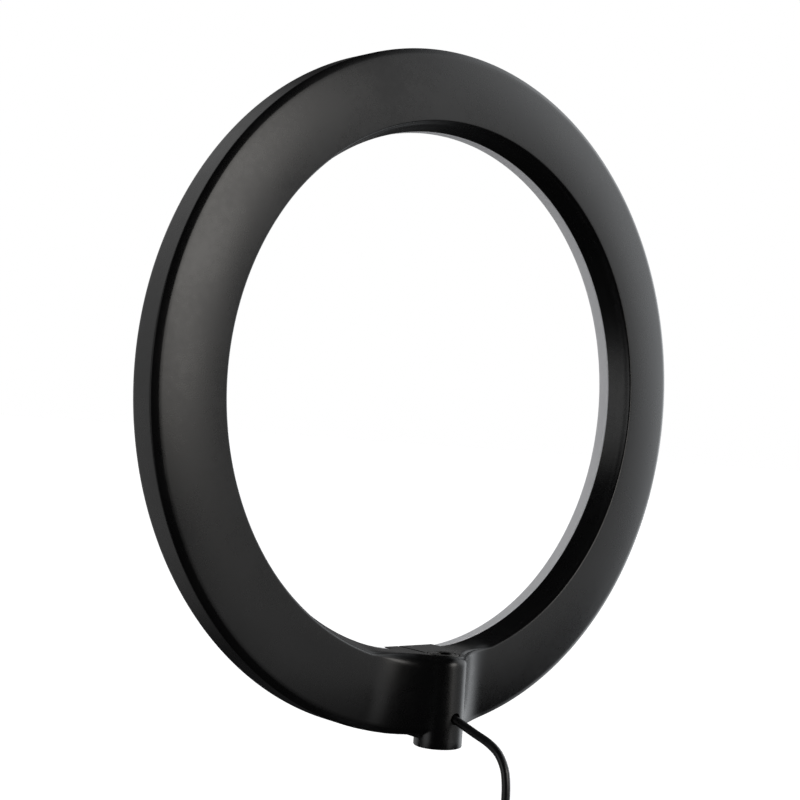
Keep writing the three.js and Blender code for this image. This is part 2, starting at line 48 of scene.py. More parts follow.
scene = bpy.context.scene
scene.view_settings.view_transform = "Standard"

# ---- The part's driving dimensions, as in its CAD source ----

GAP = 0.3
RING_OUTER_R, RING_INNER_R, RING_Z = 130.0, 99.6, 132.8
FRONT_Y, BACK_Y = -21.0, -5.4
OUTER_WALL = 2.2
RIM_R, RIM_ROUND = 102.5, 0.8
CREST_R, CROWN = 104.5, 0.005
EDGE_WIDTH, EDGE_HEIGHT = 2.4, 0.8
DIFFUSER_WRAP, DIFFUSER_THICKNESS = 5.6, 1.8
BOARD_INNER_R, BOARD_OUTER_R = 104.4, 124.6
BOARD_FRONT, BOARD_THICKNESS = 8.8, 1.2
LED_ROWS, LEDS_PER_ROW = (108.2, 119.0), 20
SCREW_CIRCLE_R, SCREWS_PER_HALF = 113.6, 3
COLUMN_R, FILLET_R = 9.15, 27.0
PLATFORM_DROP, PLATFORM_FLAT, SHELF_HALF = 98.5, 10.0, 12.0
PLATFORM_Z = RING_Z - PLATFORM_DROP
SEAM_X = 5.0
INSERT_R, INSERT_HEIGHT, THREAD_R = 5.2, 7.0, 3.175
COLLAR_R, COLLAR_HEIGHT, COLLAR_PROUD = 6.0, 1.2, 0.2
COLLAR_BASE = PLATFORM_Z + COLLAR_PROUD - COLLAR_HEIGHT
CHANNEL_R, CHANNEL_BOTTOM, CHANNEL_TOP = 5.2, 8.2, 25.6
CORD_R, EXIT_Z, EXIT_HOLE_R = 1.6, 11.5, 2.2
SURFACE_Z = -75.0
COIL_X, COIL_Y, TURN_R, TURN_PITCH = -55.0, 16.4, 23.6, 3.3
TIE_THICKNESS = 0.7
COIL_Z = SURFACE_Z + TIE_THICKNESS + GAP + CORD_R
CONTROLLER = {"x": 46.0, "y": -7.2, "length": 64.0, "width": 20.0, "height": 11.5, "wall": 1.6}
CONTROLLER_X0, CONTROLLER_X1 = 14.0, 78.0
PARTING_Z = 5.75
CONTROLLER_AXIS_Z = SURFACE_Z + PARTING_Z
BUTTON_R, BUTTON_PITCH, BUTTON_PROUD, BUTTON_TRAVEL = 3.0, 12.0, 0.8, 0.5
RELIEF_LENGTH = 12.0
PLUG_Y, PLUG_END_X, PLUG_AXIS_Z = 27.0, 34.0, -71.0
PLUG_X1, PLUG_X0, SHELL_X0 = 24.0, 2.0, -10.0


# ---- Mesh making ----


def new_object(name, points, faces, materials=(), face_slots=None, angle=32.0):
    """A mesh object from points in mm, cleaned of doubled points and with its normals outward."""
    mesh = bpy.data.meshes.new(name)
    mesh.from_pydata((np.asarray(points, float) * MM).tolist(), [], [tuple(f) for f in faces])
    for material in materials:
        mesh.materials.append(material)
    if face_slots is not None:
        mesh.polygons.foreach_set("material_index", face_slots)
    obj = bpy.data.objects.new(name, mesh)
    scene.collection.objects.link(obj)
    clean(obj, angle)
    return obj


def clean(obj, angle=32.0):
    bm = bmesh.new()
    bm.from_mesh(obj.data)
    bmesh.ops.remove_doubles(bm, verts=bm.verts, dist=2e-6)
    bmesh.ops.dissolve_degenerate(bm, edges=bm.edges, dist=1e-6)
    loose = [v for v in bm.verts if not v.link_faces]
    bmesh.ops.delete(bm, geom=loose, context="VERTS")
    bmesh.ops.recalc_face_normals(bm, faces=bm.faces)
    bm.to_mesh(obj.data)
    bm.free()
    obj.data.polygons.foreach_set("use_smooth", [True] * len(obj.data.polygons))
    obj.data.set_sharp_from_angle(angle=math.radians(angle))


def grid_faces(rows, columns, wrap_rows=False, offset=0):
    """Quads between neighbouring rows of points. Each row is a closed loop."""
    faces = []
    for i in range(rows if wrap_rows else rows - 1):
        near, far = offset + i * columns, offset + (i + 1) % rows * columns
        for j in range(columns):
            n = (j + 1) % columns
            faces.append((near + j, near + n, far + n, far + j))
    return faces


def turned(
    name, profile, segments, axis="Z", centre=(0, 0, 0), closed=True, materials=(), wave=None, angle=32.0
):
    """A profile of (radius, height) turned round an axis. wave(angle, index) may change a point's radius."""
    turns = np.arange(segments) * 2 * math.pi / segments
    rows = []
    for i, (radius, height) in enumerate(profile):
        radii = np.full(segments, radius, float)
        if wave is not None:
            radii = radii + np.array([wave(t, i) for t in turns])
        c, s, h = radii * np.cos(turns), radii * np.sin(turns), np.full(segments, height, float)
        rows.append({"X": (h, c, s), "Y": (c, h, s), "Z": (c, s, h)}[axis])
    points = np.array([np.stack(row, 1) for row in rows]).reshape(-1, 3) + np.array(centre, float)
    return new_object(name, points, grid_faces(len(profile), segments, closed), materials, angle=angle)


def rounded_loop(width, height, radius, steps=6):
    """A rounded rectangle as an array of (x, y), counterclockwise."""
    radius = max(min(radius, width / 2 - 1e-3, height / 2 - 1e-3), 1e-3)
    side_x, side_y = width / 2 - radius, height / 2 - radius
    points = []
    for k, (sx, sy) in enumerate(((1, 1), (-1, 1), (-1, -1), (1, -1))):
        for i in range(steps + 1):
            a = math.radians(90 * k + 90 * i / steps)
            points.append((sx * side_x + radius * math.cos(a), sy * side_y + radius * math.sin(a)))
    return np.array(points)


def lofted(name, loops, materials=()):
    """Closed loops of equal length joined one after another, with flat ends."""
    count = len(loops[0])
    points = np.concatenate(loops)
    faces = grid_faces(len(loops), count)
    faces.append(tuple(range(count))[::-1])
    faces.append(tuple(range((len(loops) - 1) * count, len(loops) * count)))
    return new_object(name, points, faces, materials)


def arc_points(cx, cy, radius, start, end, steps):
    angles = np.radians(np.linspace(start, end, steps + 1))
    return [(cx + radius * math.cos(a), cy + radius * math.sin(a)) for a in angles]


def joined(name, parts):
    """Several fresh objects made into one."""
    bm = bmesh.new()
    materials = []
    for part in parts:
        before = len(bm.faces)
        bm.from_mesh(part.data)
        bm.faces.ensure_lookup_table()
        shift = []
        for m in part.data.materials:
            if m not in materials:
                materials.append(m)
            shift.append(materials.index(m))
        for face in bm.faces[before:]:
            if shift:
                face.material_index = shift[face.material_index]
    mesh = bpy.data.meshes.new(name)
    bm.to_mesh(mesh)
    bm.free()
    for m in materials:
        mesh.materials.append(m)
    for part in parts:
        bpy.data.objects.remove(part)
    obj = bpy.data.objects.new(name, mesh)
    scene.collection.objects.link(obj)
    return obj


def cut(obj, tools, angle=32.0):
    """Cuts the tools, which must not touch each other, out of the object with one exact boolean."""
    tool = joined("tool", tools)
    modifier = obj.modifiers.new("cut", "BOOLEAN")
    modifier.object, modifier.operation, modifier.solver = tool, "DIFFERENCE", "EXACT"
    bpy.context.view_layer.update()
    mesh = bpy.data.meshes.new_from_object(obj.evaluated_get(bpy.context.evaluated_depsgraph_get()))
    obj.modifiers.clear()
    old, obj.data = obj.data, mesh
    bpy.data.meshes.remove(old)
    bpy.data.objects.remove(tool)
    clean(obj, angle)
    return obj


def rod(axis, centre, radius, low, high, segments=48):
    """A plain round cutter along an axis; centre gives the two other coordinates in X, Y, Z order."""
    place = {"X": (0, *centre), "Y": (centre[0], 0, centre[1]), "Z": (*centre, 0)}[axis]
    return turned("rod", [(0, low), (radius, low), (radius, high), (0, high)], segments, axis, place, False)


def box_tool(x0, x1, y0, y1, z0, z1):
    loop = np.array([(x0, y0), (x1, y0), (x1, y1), (x0, y1)], float)
    loops = [np.column_stack([loop, np.full(4, z)]) for z in (z0, z1)]
    return lofted("box", loops)


def smooth_step(value, low, high):
    t = min(max((value - low) / (high - low), 0.0), 1.0)
    return t * t * (3 - 2 * t)


def piece(obj, body, slot, *nodes):
    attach(obj, body)
    if nodes:
        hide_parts(*nodes)
    return obj


# ---- Camera ----


def make_camera():
    data = bpy.data.cameras.new("camera")
    data.sensor_width, data.lens = 36.0, 67.8
    data.clip_start, data.clip_end = 0.02, 200.0
    camera = bpy.data.objects.new("camera", data)
    scene.collection.objects.link(camera)
    scene.camera = camera
    forward = Vector((-0.6498, -0.7600, 0.0142)).normalized()
    right = forward.cross(Vector((0, 0, 1))).normalized()
    up = right.cross(forward)
    roll = math.radians(4.05)
    x_axis = math.cos(roll) * right + math.sin(roll) * up
    y_axis = -math.sin(roll) * right + math.cos(roll) * up
    camera.matrix_world = Matrix.Translation((0.3881, 0.4182, 0.1207)) @ Matrix(
        (x_axis, y_axis, -forward)
    ).transposed().to_4x4()


make_camera()

# ---- Materials ----


class Nodes:
    """A material's node tree, with short ways to add what these materials share."""

    def __init__(self, name):
        self.material = bpy.data.materials.new(name)
        self.material.use_nodes = True
        self.tree = self.material.node_tree
        self.shader = self.tree.nodes["Principled BSDF"]
        self.place = self.add("ShaderNodeTexCoord").outputs["Object"]
        self.height = None

    def add(self, kind, **inputs):
        node = self.tree.nodes.new(kind)
        for key, value in inputs.items():
            node.inputs[key.replace("_", " ")].default_value = value
        return node

    def link(self, source, target):
        self.tree.links.new(source, target)

    def noise(self, scale, detail=2.0, stretch=None):
        node = self.add("ShaderNodeTexNoise", Scale=scale, Detail=detail)
        place = self.place
        if stretch is not None:
            mapping = self.add("ShaderNodeMapping", Scale=stretch)
            self.link(place, mapping.inputs["Vector"])
            place = mapping.outputs["Vector"]
        self.link(place, node.inputs["Vector"])
        return node.outputs["Fac"]

    def spread(self, source, low, high, from_low=0.3, from_high=0.7):
        node = self.add("ShaderNodeMapRange")
        ends = {"From Min": from_low, "From Max": from_high, "To Min": low, "To Max": high}
        for key, value in ends.items():
            node.inputs[key].default_value = value
        self.link(source, node.inputs["Value"])
        return node.outputs["Result"]

    def math(self, operation, a, b):
        node = self.add("ShaderNodeMath")
        node.operation = operation
        for socket, value in zip(node.inputs, (a, b)):
            if isinstance(value, (int, float)):
                socket.default_value = value
            else:
                self.link(value, socket)
        return node.outputs["Value"]

    def colour(self, factor, low, high):
        node = self.add("ShaderNodeMix")
        node.data_type = "RGBA"
        self.link(factor, node.inputs[0])
        node.inputs[6].default_value, node.inputs[7].default_value = (*low, 1), (*high, 1)
        self.link(node.outputs[2], self.shader.inputs["Base Color"])
        return node.outputs[2]

    def rough(self, factor, low, high):
        self.link(self.spread(factor, low, high), self.shader.inputs["Roughness"])

    def bump(self, factor, distance, strength=1.0):
        node = self.add("ShaderNodeBump", Distance=distance, Strength=strength)
        self.link(factor, node.inputs["Height"])
        if self.height is not None:
            self.link(self.height, node.inputs["Normal"])
        self.height = node.outputs["Normal"]
        self.link(self.height, self.shader.inputs["Normal"])

    def set(self, **inputs):
        for key, value in inputs.items():
            self.shader.inputs[key.replace("_", " ")].default_value = value


def moulded(name, dark, light, roughness, grain=2600.0, depth=1.2e-5):
    """Moulded plastic with a fine spark texture, faint flow marks and edges painted a little brighter, partly
    as wear and partly as a painted edge highlight.
    """
    n = Nodes(name)
    flow = n.noise(38.0, 3.0)
    fine = n.noise(grain, 2.0)
    # Sharp convex edges are painted brighter: partly wear, partly a painted edge highlight.
    pointed = n.add("ShaderNodeNewGeometry").outputs["Pointiness"]
    edges = n.spread(pointed, 0.0, 1.0, 0.52, 0.6)
    wear_and_edge_highlight = n.math("MULTIPLY", edges, n.spread(n.noise(240.0, 4.0), 0.15, 0.8))
    n.colour(n.math("MAXIMUM", n.spread(flow, 0.0, 0.6), wear_and_edge_highlight), dark, light)
    patches = n.math("MULTIPLY", n.math("SUBTRACT", n.noise(420.0, 3.0), 0.5), 0.5)
    n.rough(n.math("ADD", flow, patches), *roughness)
    n.bump(fine, depth)
    n.bump(flow, 2.0e-4, 0.08)
    return n.material


def milky(name):
    """Opal plastic that scatters light inside, with a faint painted glow standing in for light shining through
    it.
    """
    n = Nodes(name)
    soft = n.noise(30.0, 2.0)
    n.colour(n.spread(soft, 0.0, 1.0), (0.80, 0.80, 0.815), (0.87, 0.87, 0.875))
    n.rough(n.noise(300.0, 2.0), 0.42, 0.52)
    n.bump(n.noise(3200.0, 1.0), 8e-6)
    n.set(Subsurface_Weight=0.3, Subsurface_Radius=(1.0, 1.0, 1.0), Subsurface_Scale=0.002)
    # Painted glow: the unlit diffuser gets a faint white emission in place of light shining through it.
    n.set(Emission_Color=(0.96, 0.97, 1.0, 1), Emission_Strength=0.16)
    return n.material


def grained(name, dark, light, roughness, scale=900.0, detail=4.0, depth=6e-6, stretch=None, metallic=1.0):
    """Metal, or a coated board when metallic is 0, whose grain shows in its colour, gloss and surface."""
    n = Nodes(name)
    grain = n.noise(scale, detail, stretch)
    n.colour(n.spread(grain, 0.0, 1.0), dark, light)
    n.rough(grain, *roughness)
    n.bump(grain, depth)
    n.set(Metallic=metallic)
    return n.material


def rubber(name, dark, light, roughness, scuff=210.0, grain=2200.0, depth=1.6e-5):
    """Rubber, soft plastic or cable jacket, lightly scuffed or dusty."""
    n = Nodes(name)
    dust = n.noise(scuff, 5.0)
    n.colour(n.spread(dust, 0.0, 1.0), dark, light)
    n.rough(dust, *roughness)
    n.bump(n.noise(grain, 2.0), depth)
    return n.material


def woven(name):
    """A hook-and-loop strap: crossed rib threads with a short fuzz."""
    n = Nodes(name)
    ribs = []
    for axis in (0, 1):
        wave = n.add("ShaderNodeTexWave", Scale=520.0, Distortion=1.2, Detail=2.0)
        wave.bands_direction = ("Y", "Z")[axis]
        n.link(n.place, wave.inputs["Vector"])
        ribs.append(wave.outputs["Fac"])
    weave = n.math("MULTIPLY", ribs[0], ribs[1])
    n.colour(weave, (0.008, 0.008, 0.009), (0.035, 0.035, 0.038))
    n.rough(weave, 0.75, 0.95)
    n.bump(weave, 1.2e-4)
    n.bump(n.noise(2600.0, 3.0), 5e-5)
    n.set(Sheen_Weight=0.35, Sheen_Roughness=0.4)
    return n.material


HOUSING = moulded("housing_plastic", (0.002, 0.002, 0.0022), (0.0045, 0.0045, 0.0048), (0.24, 0.32))
DIFFUSER = milky("diffuser_plastic")
MASK = {"roughness": (0.3, 0.42), "detail": 3.0, "depth": 1.5e-5, "metallic": 0.0}
BOARD_WHITE = grained("board_white", (0.78, 0.78, 0.75), (0.86, 0.86, 0.83), **MASK)
BOARD_GREEN = grained("board_green", (0.012, 0.10, 0.035), (0.02, 0.15, 0.055), **MASK)
SCREW = grained("screw_steel", (0.46, 0.46, 0.48), (0.66, 0.66, 0.68), (0.22, 0.38))
INSERT = grained("insert_metal", (0.035, 0.034, 0.032), (0.085, 0.082, 0.076), (0.2, 0.36), 1400.0)
JACKET = rubber(
    "cable_jacket", (0.006, 0.006, 0.0065), (0.012, 0.012, 0.013), (0.22, 0.36), 160.0, 700.0, 1.5e-5
)
LEAD_RED = rubber("lead_red", (0.42, 0.02, 0.02), (0.55, 0.04, 0.035), (0.35, 0.5))
LEAD_YELLOW = rubber("lead_yellow", (0.55, 0.38, 0.04), (0.68, 0.48, 0.06), (0.35, 0.5))
LEAD_WHITE = rubber("lead_white", (0.68, 0.68, 0.66), (0.8, 0.8, 0.78), (0.35, 0.5))
STRAP = woven("strap_fabric")
CONTROLLER_BLACK = moulded(
    "controller_plastic", (0.008, 0.008, 0.009), (0.018, 0.018, 0.019), (0.36, 0.48), 1900.0, 2.2e-5
)
BUTTON_GREY = rubber("button_rubber", (0.075, 0.075, 0.08), (0.11, 0.11, 0.115), (0.5, 0.64))
SYMBOL = rubber("button_symbol", (0.62, 0.62, 0.63), (0.74, 0.74, 0.75), (0.45, 0.55))
RELIEF = rubber("relief_rubber", (0.008, 0.008, 0.009), (0.017, 0.017, 0.018), (0.42, 0.56))
OVERMOULD = rubber("overmould_plastic", (0.008, 0.008, 0.009), (0.018, 0.018, 0.019), (0.4, 0.54))
USB_STEEL = grained(
    "usb_steel", (0.52, 0.53, 0.55), (0.70, 0.71, 0.73), (0.16, 0.32), 1200.0, stretch=(0.15, 1, 1)
)
GOLD = grained("contact_gold", (0.78, 0.56, 0.24), (0.9, 0.68, 0.32), (0.14, 0.26))
TONGUE = rubber("tongue_plastic", (0.74, 0.74, 0.72), (0.82, 0.82, 0.8), (0.35, 0.45))
PHOSPHOR_WARM = rubber("phosphor_warm", (0.78, 0.48, 0.08), (0.86, 0.56, 0.12), (0.25, 0.35))
PHOSPHOR_COOL = rubber("phosphor_cool", (0.78, 0.72, 0.22), (0.84, 0.80, 0.3), (0.25, 0.35))

# Inner pieces keep their CAD solids, with these materials by slot.
SLOT_MATERIALS = {
    "board_white": BOARD_WHITE,
    "board_green": BOARD_GREEN,
    "screw_steel": SCREW,
    "cable_jacket": JACKET,
    "lead_red": LEAD_RED,
    "lead_yellow": LEAD_YELLOW,
    "lead_white": LEAD_WHITE,
    "switch_steel": SCREW,
}
for part in frame["record"]["subparts"]:
    if part["material_slot"] in SLOT_MATERIALS:
        node = frame["nodes"][part["node"]]
        node.data.materials.clear()
        node.data.materials.append(SLOT_MATERIALS[part["material_slot"]])

# ---- Cable ----

DROP_ROUTE = [
    (0, 1, EXIT_Z), (0, 4.5, EXIT_Z), (0, COLUMN_R, 11.1), (0, 14, 9.8), (0, 20, 8.2), (0, 27.5, 6.2),
    (0, 32.7, 3.5), (0, 36.2, -1.1), (0, 37.5, -6.4), (0, 37.9, -16), (0, 38.3, -28), (0, 38.7, -42),
    (-0.6, 39.1, -54), (-3.4, 39.6, -63.6), (-9.4, 40, -70), (-18, 40, -73), (-30, 40, -72.7),
    (-41.4, 40, -72.4), (-48, 40, -72.4),
]  # fmt: skip
LINK_ROUTE = [
    (-48, -7.2, -62.6), (-41.4, -7.2, -63.2), (-31, -7.2, -65.6), (-19, -7.2, -68.3), (-8, -7.2, -69.25),
    (1.7, -7.2, -69.25), (15.6, -7.2, -69.25),
]  # fmt: skip
TAIL_ROUTE = [
    (76.4, -7.2, -69.25), (90.3, -7.2, -69.25), (98, -7, -70.4), (106, -5, -72.4), (114, -0.6, -73.4),
    (119, 6, -73.4), (120.4, 13.6, -73.4), (117, 20.8, -73.4), (109.6, 25.6, -73.4), (100, 27.6, -73.4),
    (86, 28, -73.4), (72, 27.6, -73.4), (58, 27, -73.1), (46, 27, -72), (34.3, 27, -71), (30, 27, -71),
]  # fmt: skip


def through(points):
    """Points about every 2 mm along the centripetal Catmull-Rom curve through the given ones."""
    spacing = 2.0
    p = [np.array(q, float) for q in points]
    p = [2 * p[0] - p[1], *p, 2 * p[-1] - p[-2]]
    line = []
    for a, b, c, d in zip(p, p[1:], p[2:], p[3:]):
        t0 = 0.0
        t1 = t0 + math.sqrt(np.linalg.norm(b - a))
        t2 = t1 + math.sqrt(np.linalg.norm(c - b))
        t3 = t2 + math.sqrt(np.linalg.norm(d - c))
        steps = max(2, round(float(np.linalg.norm(c - b)) / spacing))
        for t in np.linspace(t1, t2, steps, endpoint=False):
            a1 = (t1 - t) / (t1 - t0) * a + (t - t0) / (t1 - t0) * b
            a2 = (t2 - t) / (t2 - t1) * b + (t - t1) / (t2 - t1) * c
            a3 = (t3 - t) / (t3 - t2) * c + (t - t2) / (t3 - t2) * d
            b1 = (t2 - t) / (t2 - t0) * a1 + (t - t0) / (t2 - t0) * a2
            b2 = (t3 - t) / (t3 - t1) * a2 + (t - t1) / (t3 - t1) * a3
            line.append((t2 - t) / (t2 - t1) * b1 + (t - t1) / (t2 - t1) * b2)
    return [*line, p[-2]]


def coil_points():
    """The stored turns, wound in and out, layer on layer. Each step to the next place happens a little
    earlier in the turn whenever the winding changes direction, so no turn has to pass through another."""
    places = [(0, 0), (1, 0), (2, 0), (2, 1), (1, 1), (0, 1), (0, 2), (1, 2), (2, 2), (2, 3), (1, 3), (0, 3)]
    changes = [0, 0, 1, 2, 2, 3, 4, 4, 5, 6, 6]
    step_angle = 50.0
    starts = [360.0 * (k + 1) - 60.0 - step_angle * c for k, c in enumerate(changes)]
    last = 360.0 * 10 + 180.0
    points = []
    for turn in np.linspace(0.0, last, 505):
        column, row = places[0]
        for k, start in enumerate(starts):
            share = smooth_step(turn, start, start + step_angle)
            column += share * (places[k + 1][0] - places[k][0])
            row += share * (places[k + 1][1] - places[k][1])
        radius, angle = TURN_R - TURN_PITCH * column, math.radians(90.0 + turn)
        x, y = COIL_X + radius * math.cos(angle), COIL_Y + radius * math.sin(angle)
        points.append(np.array((x, y, COIL_Z + TURN_PITCH * row)))
    return points


def cable(name, points):
    curve = bpy.data.curves.new(name, "CURVE")
    curve.dimensions = "3D"
    curve.bevel_depth, curve.bevel_resolution, curve.use_fill_caps = CORD_R * MM, 5, True
    spline = curve.splines.new("POLY")
    spline.points.add(len(points) - 1)
    for target, point in zip(spline.points, points):
        target.co = (*(point * MM), 1.0)
    spline.use_smooth = True
    curve.materials.append(JACKET)
    obj = bpy.data.objects.new(name, curve)
    scene.collection.objects.link(obj)
    return obj


def route_length(points):
    return sum(float(np.linalg.norm(b - a)) for a, b in zip(points, points[1:])) * MM


MAIN_LINE = [*through(DROP_ROUTE), *coil_points(), *through(LINK_ROUTE)]
TAIL_LINE = through(TAIL_ROUTE)
main_cable = piece(
    cable("cable_to_controller", MAIN_LINE), "light", "cable_jacket", "cord_drop", "cord_coil", "cord_link"
)
tail_cable = piece(cable("cable_to_plug", TAIL_LINE), "light", "cable_jacket", "cord_tail")

# ---- Housing ----

REFERENCE_R = 114.0  # where the planes that the section is taken in are spaced
WRAP_Y = FRONT_Y + DIFFUSER_WRAP + GAP
PLATFORM_END = 21.6  # half width of the platform
SEAM_HALF, SEAM_DEPTH = 0.5, 1.1
ELSEWHERE = 200.0  # stands for x away from the column
DRAW_IN = 1.6  # how far the wall draws in under the fillets
STUB_EDGE = 0.35
CORNER_ROUND, CORNER_EXTRA = 3.2, 2.0  # rounding of the platform's rear edge, and its extra on the +X side


def rear_y(x, back, fillet_inset, column_inset=0.0):
    """Depth of the rear surface at x: the column, the concave fillets beside it, or the ring's back, which
    is at the given depth here."""
    ax, radius = abs(x), COLUMN_R - column_inset
    column = math.sqrt(max(radius**2 - ax**2, 0.0))
    fillet_y = back + FILLET_R
    fillet_x = math.sqrt((COLUMN_R + FILLET_R) ** 2 - fillet_y**2)
    if ax < radius * fillet_x / (COLUMN_R + FILLET_R):
        return column
    if ax >= fillet_x:
        return back - fillet_inset
    fillet = fillet_y - math.sqrt((FILLET_R + fillet_inset) ** 2 - (fillet_x - ax) ** 2)
    return max(fillet, column) if ax < radius else fillet


def platform_z(x):
    """Height of the platform's curve below the ring's centre at x."""
    spare = RING_INNER_R - PLATFORM_DROP
    rise = (RING_INNER_R**2 - PLATFORM_FLAT**2 - PLATFORM_DROP**2) / (2 * spare)
    off = max(abs(x) - PLATFORM_FLAT, 0.0)
    return -PLATFORM_DROP + rise - math.sqrt(max(rise**2 - off**2, 0.0))


def housing_columns():
    """The planes that the housing's section is taken in: ("a", angle) in even steps round the ring, and
    ("x", x at the reference radius) closer together at the column."""
    core = [COLUMN_R * math.sin(math.radians(a)) for a in range(0, 91, 5)]
    core += list(np.arange(COLUMN_R + 0.3, SHELF_HALF - 0.1, 0.4)) + [SHELF_HALF, SHELF_HALF + 0.06]
    core += list(np.arange(12.6, 40.0, 0.7))
    core += [SEAM_X + d for d in (-SEAM_HALF - 0.16, -SEAM_HALF, 0, SEAM_HALF, SEAM_HALF + 0.16)]
    core = sorted(set(round(c, 4) for c in core))
    start = math.asin(core[-1] / REFERENCE_R)
    steps = round((math.pi - start) / math.radians(0.7))
    sides = list(np.linspace(start, math.pi, steps + 1)[1:-1])
    right = [("x", c) for c in core] + [("a", s) for s in sides]
    left = [(k, -v) for k, v in right[1:]][::-1]
    return right + [("a", math.pi)] + left


def ring_point(column, radius, y):
    """A point of the section in one plane, at a radius from the ring's axis."""
    kind, value = column
    if kind == "a":
        return (radius * math.sin(value), y, RING_Z - radius * math.cos(value))
    share = smooth_step(abs(value), 20.0, 39.0)
    x = value * (1 + share * (radius / REFERENCE_R - 1))
    return (x, y, RING_Z - math.sqrt(radius**2 - x**2))


def column_x(column, radius):
    return ring_point(column, radius, 0)[0]


def low(column):
    """Whether the plane crosses the lower half, where the column and platform are."""
    return column[0] == "x" or abs(column[1]) < math.pi / 3


def wall_r(y):
    """Radius of the conical inner wall at a depth, widest at the rear rim."""
    wrap = FRONT_Y + DIFFUSER_WRAP
    return RING_INNER_R + (RIM_R - RING_INNER_R) * min(max((y - wrap) / (BACK_Y - wrap), 0.0), 1.0)


def housing_section(column):
    """The housing's section in one plane, from the front edge out, over the back and round the inside."""
    bottom = low(column)
    x_ref = column_x(column, REFERENCE_R) if bottom else ELSEWHERE
    cone_share = smooth_step(abs(x_ref), 13.0, 34.0)

    def rear(radius, lower_inset=0.0, upper_inset=0.0):
        x = column_x(column, radius) if bottom else ELSEWHERE
        back = BACK_Y - CROWN * max(radius - CREST_R, 0.0) ** 2
        return rear_y(x, back, lower_inset + upper_inset, upper_inset)

    # Inner edge: the ring's inner wall, or the platform that fills the bottom of the opening.
    inner = RING_INNER_R
    if bottom and abs(x_ref) < 60:
        for _ in range(8):
            x = column_x(column, inner)
            inner = math.hypot(x, platform_z(x)) if abs(x) < PLATFORM_END else RING_INNER_R
    rim = inner + (RIM_R - RING_INNER_R) * cone_share
    rim_round = CORNER_ROUND + CORNER_EXTRA * smooth_step(x_ref, 2.0, 12.0)
    rim_round += (RIM_ROUND - rim_round) * smooth_step(abs(x_ref), 9.0, 30.0)
    section = []

    def add(radius, y):
        section.append(ring_point(column, radius, y))

    # Outer wall, from the front edge, with the stub of the column standing out below. Behind the ring it
    # draws in a little under the fillets.
    outer = RING_OUTER_R - DRAW_IN * smooth_step(rear(RING_OUTER_R), BACK_Y - 2.8, 1.0)
    wall_top = rear(outer, EDGE_HEIGHT + 0.35)
    x_wall = abs(column_x(column, RING_OUTER_R)) if bottom else ELSEWHERE
    half = math.sqrt(max(COLUMN_R**2 - x_wall**2, 0.0))
    first = FRONT_Y + 0.4
    add(RING_OUTER_R - 0.4, FRONT_Y)
    add(RING_OUTER_R - 0.12, FRONT_Y + 0.12)
    add(RING_OUTER_R, first)
    if x_wall <= COLUMN_R + 1e-6:
        x = column_x(column, RING_OUTER_R)
        wall_z = ring_point(column, RING_OUTER_R, 0)[2]
        edge = min(STUB_EDGE, half)
        for f in (0.25, 0.5, 0.75):
            add(RING_OUTER_R, first + (-half - first) * f)
        stub = [(half, wall_z), (half, min(edge, wall_z))]
        stub += [(half - 0.3 * edge, 0.3 * edge), (half - edge, 0.0)]
        section += [(x, -y, z) for y, z in stub]
        section += [(x, (half - edge) * f, 0.0) for f in (-0.5, 0.0, 0.5)]
        section += [(x, y, z) for y, z in stub[::-1]]
    else:
        spread = smooth_step(x_wall, COLUMN_R, 16.0)
        for k in range(14):
            fraction = (k + 1) / 14
            even = first + (wall_top - first) * fraction
            gathered = first + (min(0.0, wall_top) - first) * (min(k + 1, 4) / 4)
            y = even * spread + gathered * (1 - spread)
            add(RING_OUTER_R + (outer - RING_OUTER_R) * smooth_step(y, BACK_Y - 2.8, wall_top), y)
    # Rounded lower edge, rear surface, rounded inner edge.
    add(outer - 0.07, rear(outer, EDGE_HEIGHT + 0.16))
    add(outer - 0.25, rear(outer, EDGE_HEIGHT))
    for f in np.linspace(0, 1, 9)[1:]:
        radius = outer - 0.25 - (EDGE_WIDTH - 0.25) * f
        add(radius, rear(radius, EDGE_HEIGHT * (1 - f) ** 1.3))
    back_start, back_end = outer - EDGE_WIDTH, rim + rim_round
    for f in np.linspace(0, 1, 20)[1:-1]:
        radius = back_start + (back_end - back_start) * f
        add(radius, rear(radius))
    for a in np.radians(np.linspace(0, 90, 12)):
        inset = rim_round * (1 - math.cos(a))
        radius = rim + rim_round * (1 - math.sin(a))
        add(radius, rear(radius, 0.0, inset))
    # Inner wall or platform surface, forward to the diffuser, with the moulding seam across the platform.
    top = section[-1][1]
    seam_y = -5.0 + ((top + 0.35 * (WRAP_Y - top)) + 5.0) * smooth_step(abs(x_ref), 9.0, 15.0)
    deep = SEAM_DEPTH if column[0] == "x" and abs(column[1] - SEAM_X) < SEAM_HALF + 0.05 else 0.0

    def wall(y):
        return inner + (wall_r(y) - RING_INNER_R) * cone_share

    for f in (0.3, 0.65):
        y = top + (seam_y + 0.04 - top) * f
        add(wall(y), y)
    add(wall(seam_y), seam_y + 0.04)
    for f in (0.0, 0.33, 0.66, 1.0):
        y = seam_y - 0.04 + (WRAP_Y - seam_y) * f
        add(wall(y) + deep, y)
    if column[0] == "x" and abs(column[1]) <= SHELF_HALF + 0.01:
        shelf = RING_INNER_R - GAP
        for lift, depth in ((0, 2.0), (0, 0.5), (0.15, 0.15), (0.4, 0)):
            add(min(inner + deep + lift, shelf - 0.04), FRONT_Y + depth)
        add(shelf, FRONT_Y + 0.3)
        add(shelf, WRAP_Y)
    else:
        for k in range(1, 7):
            add(RING_INNER_R + 2.0 * k / 7, WRAP_Y)
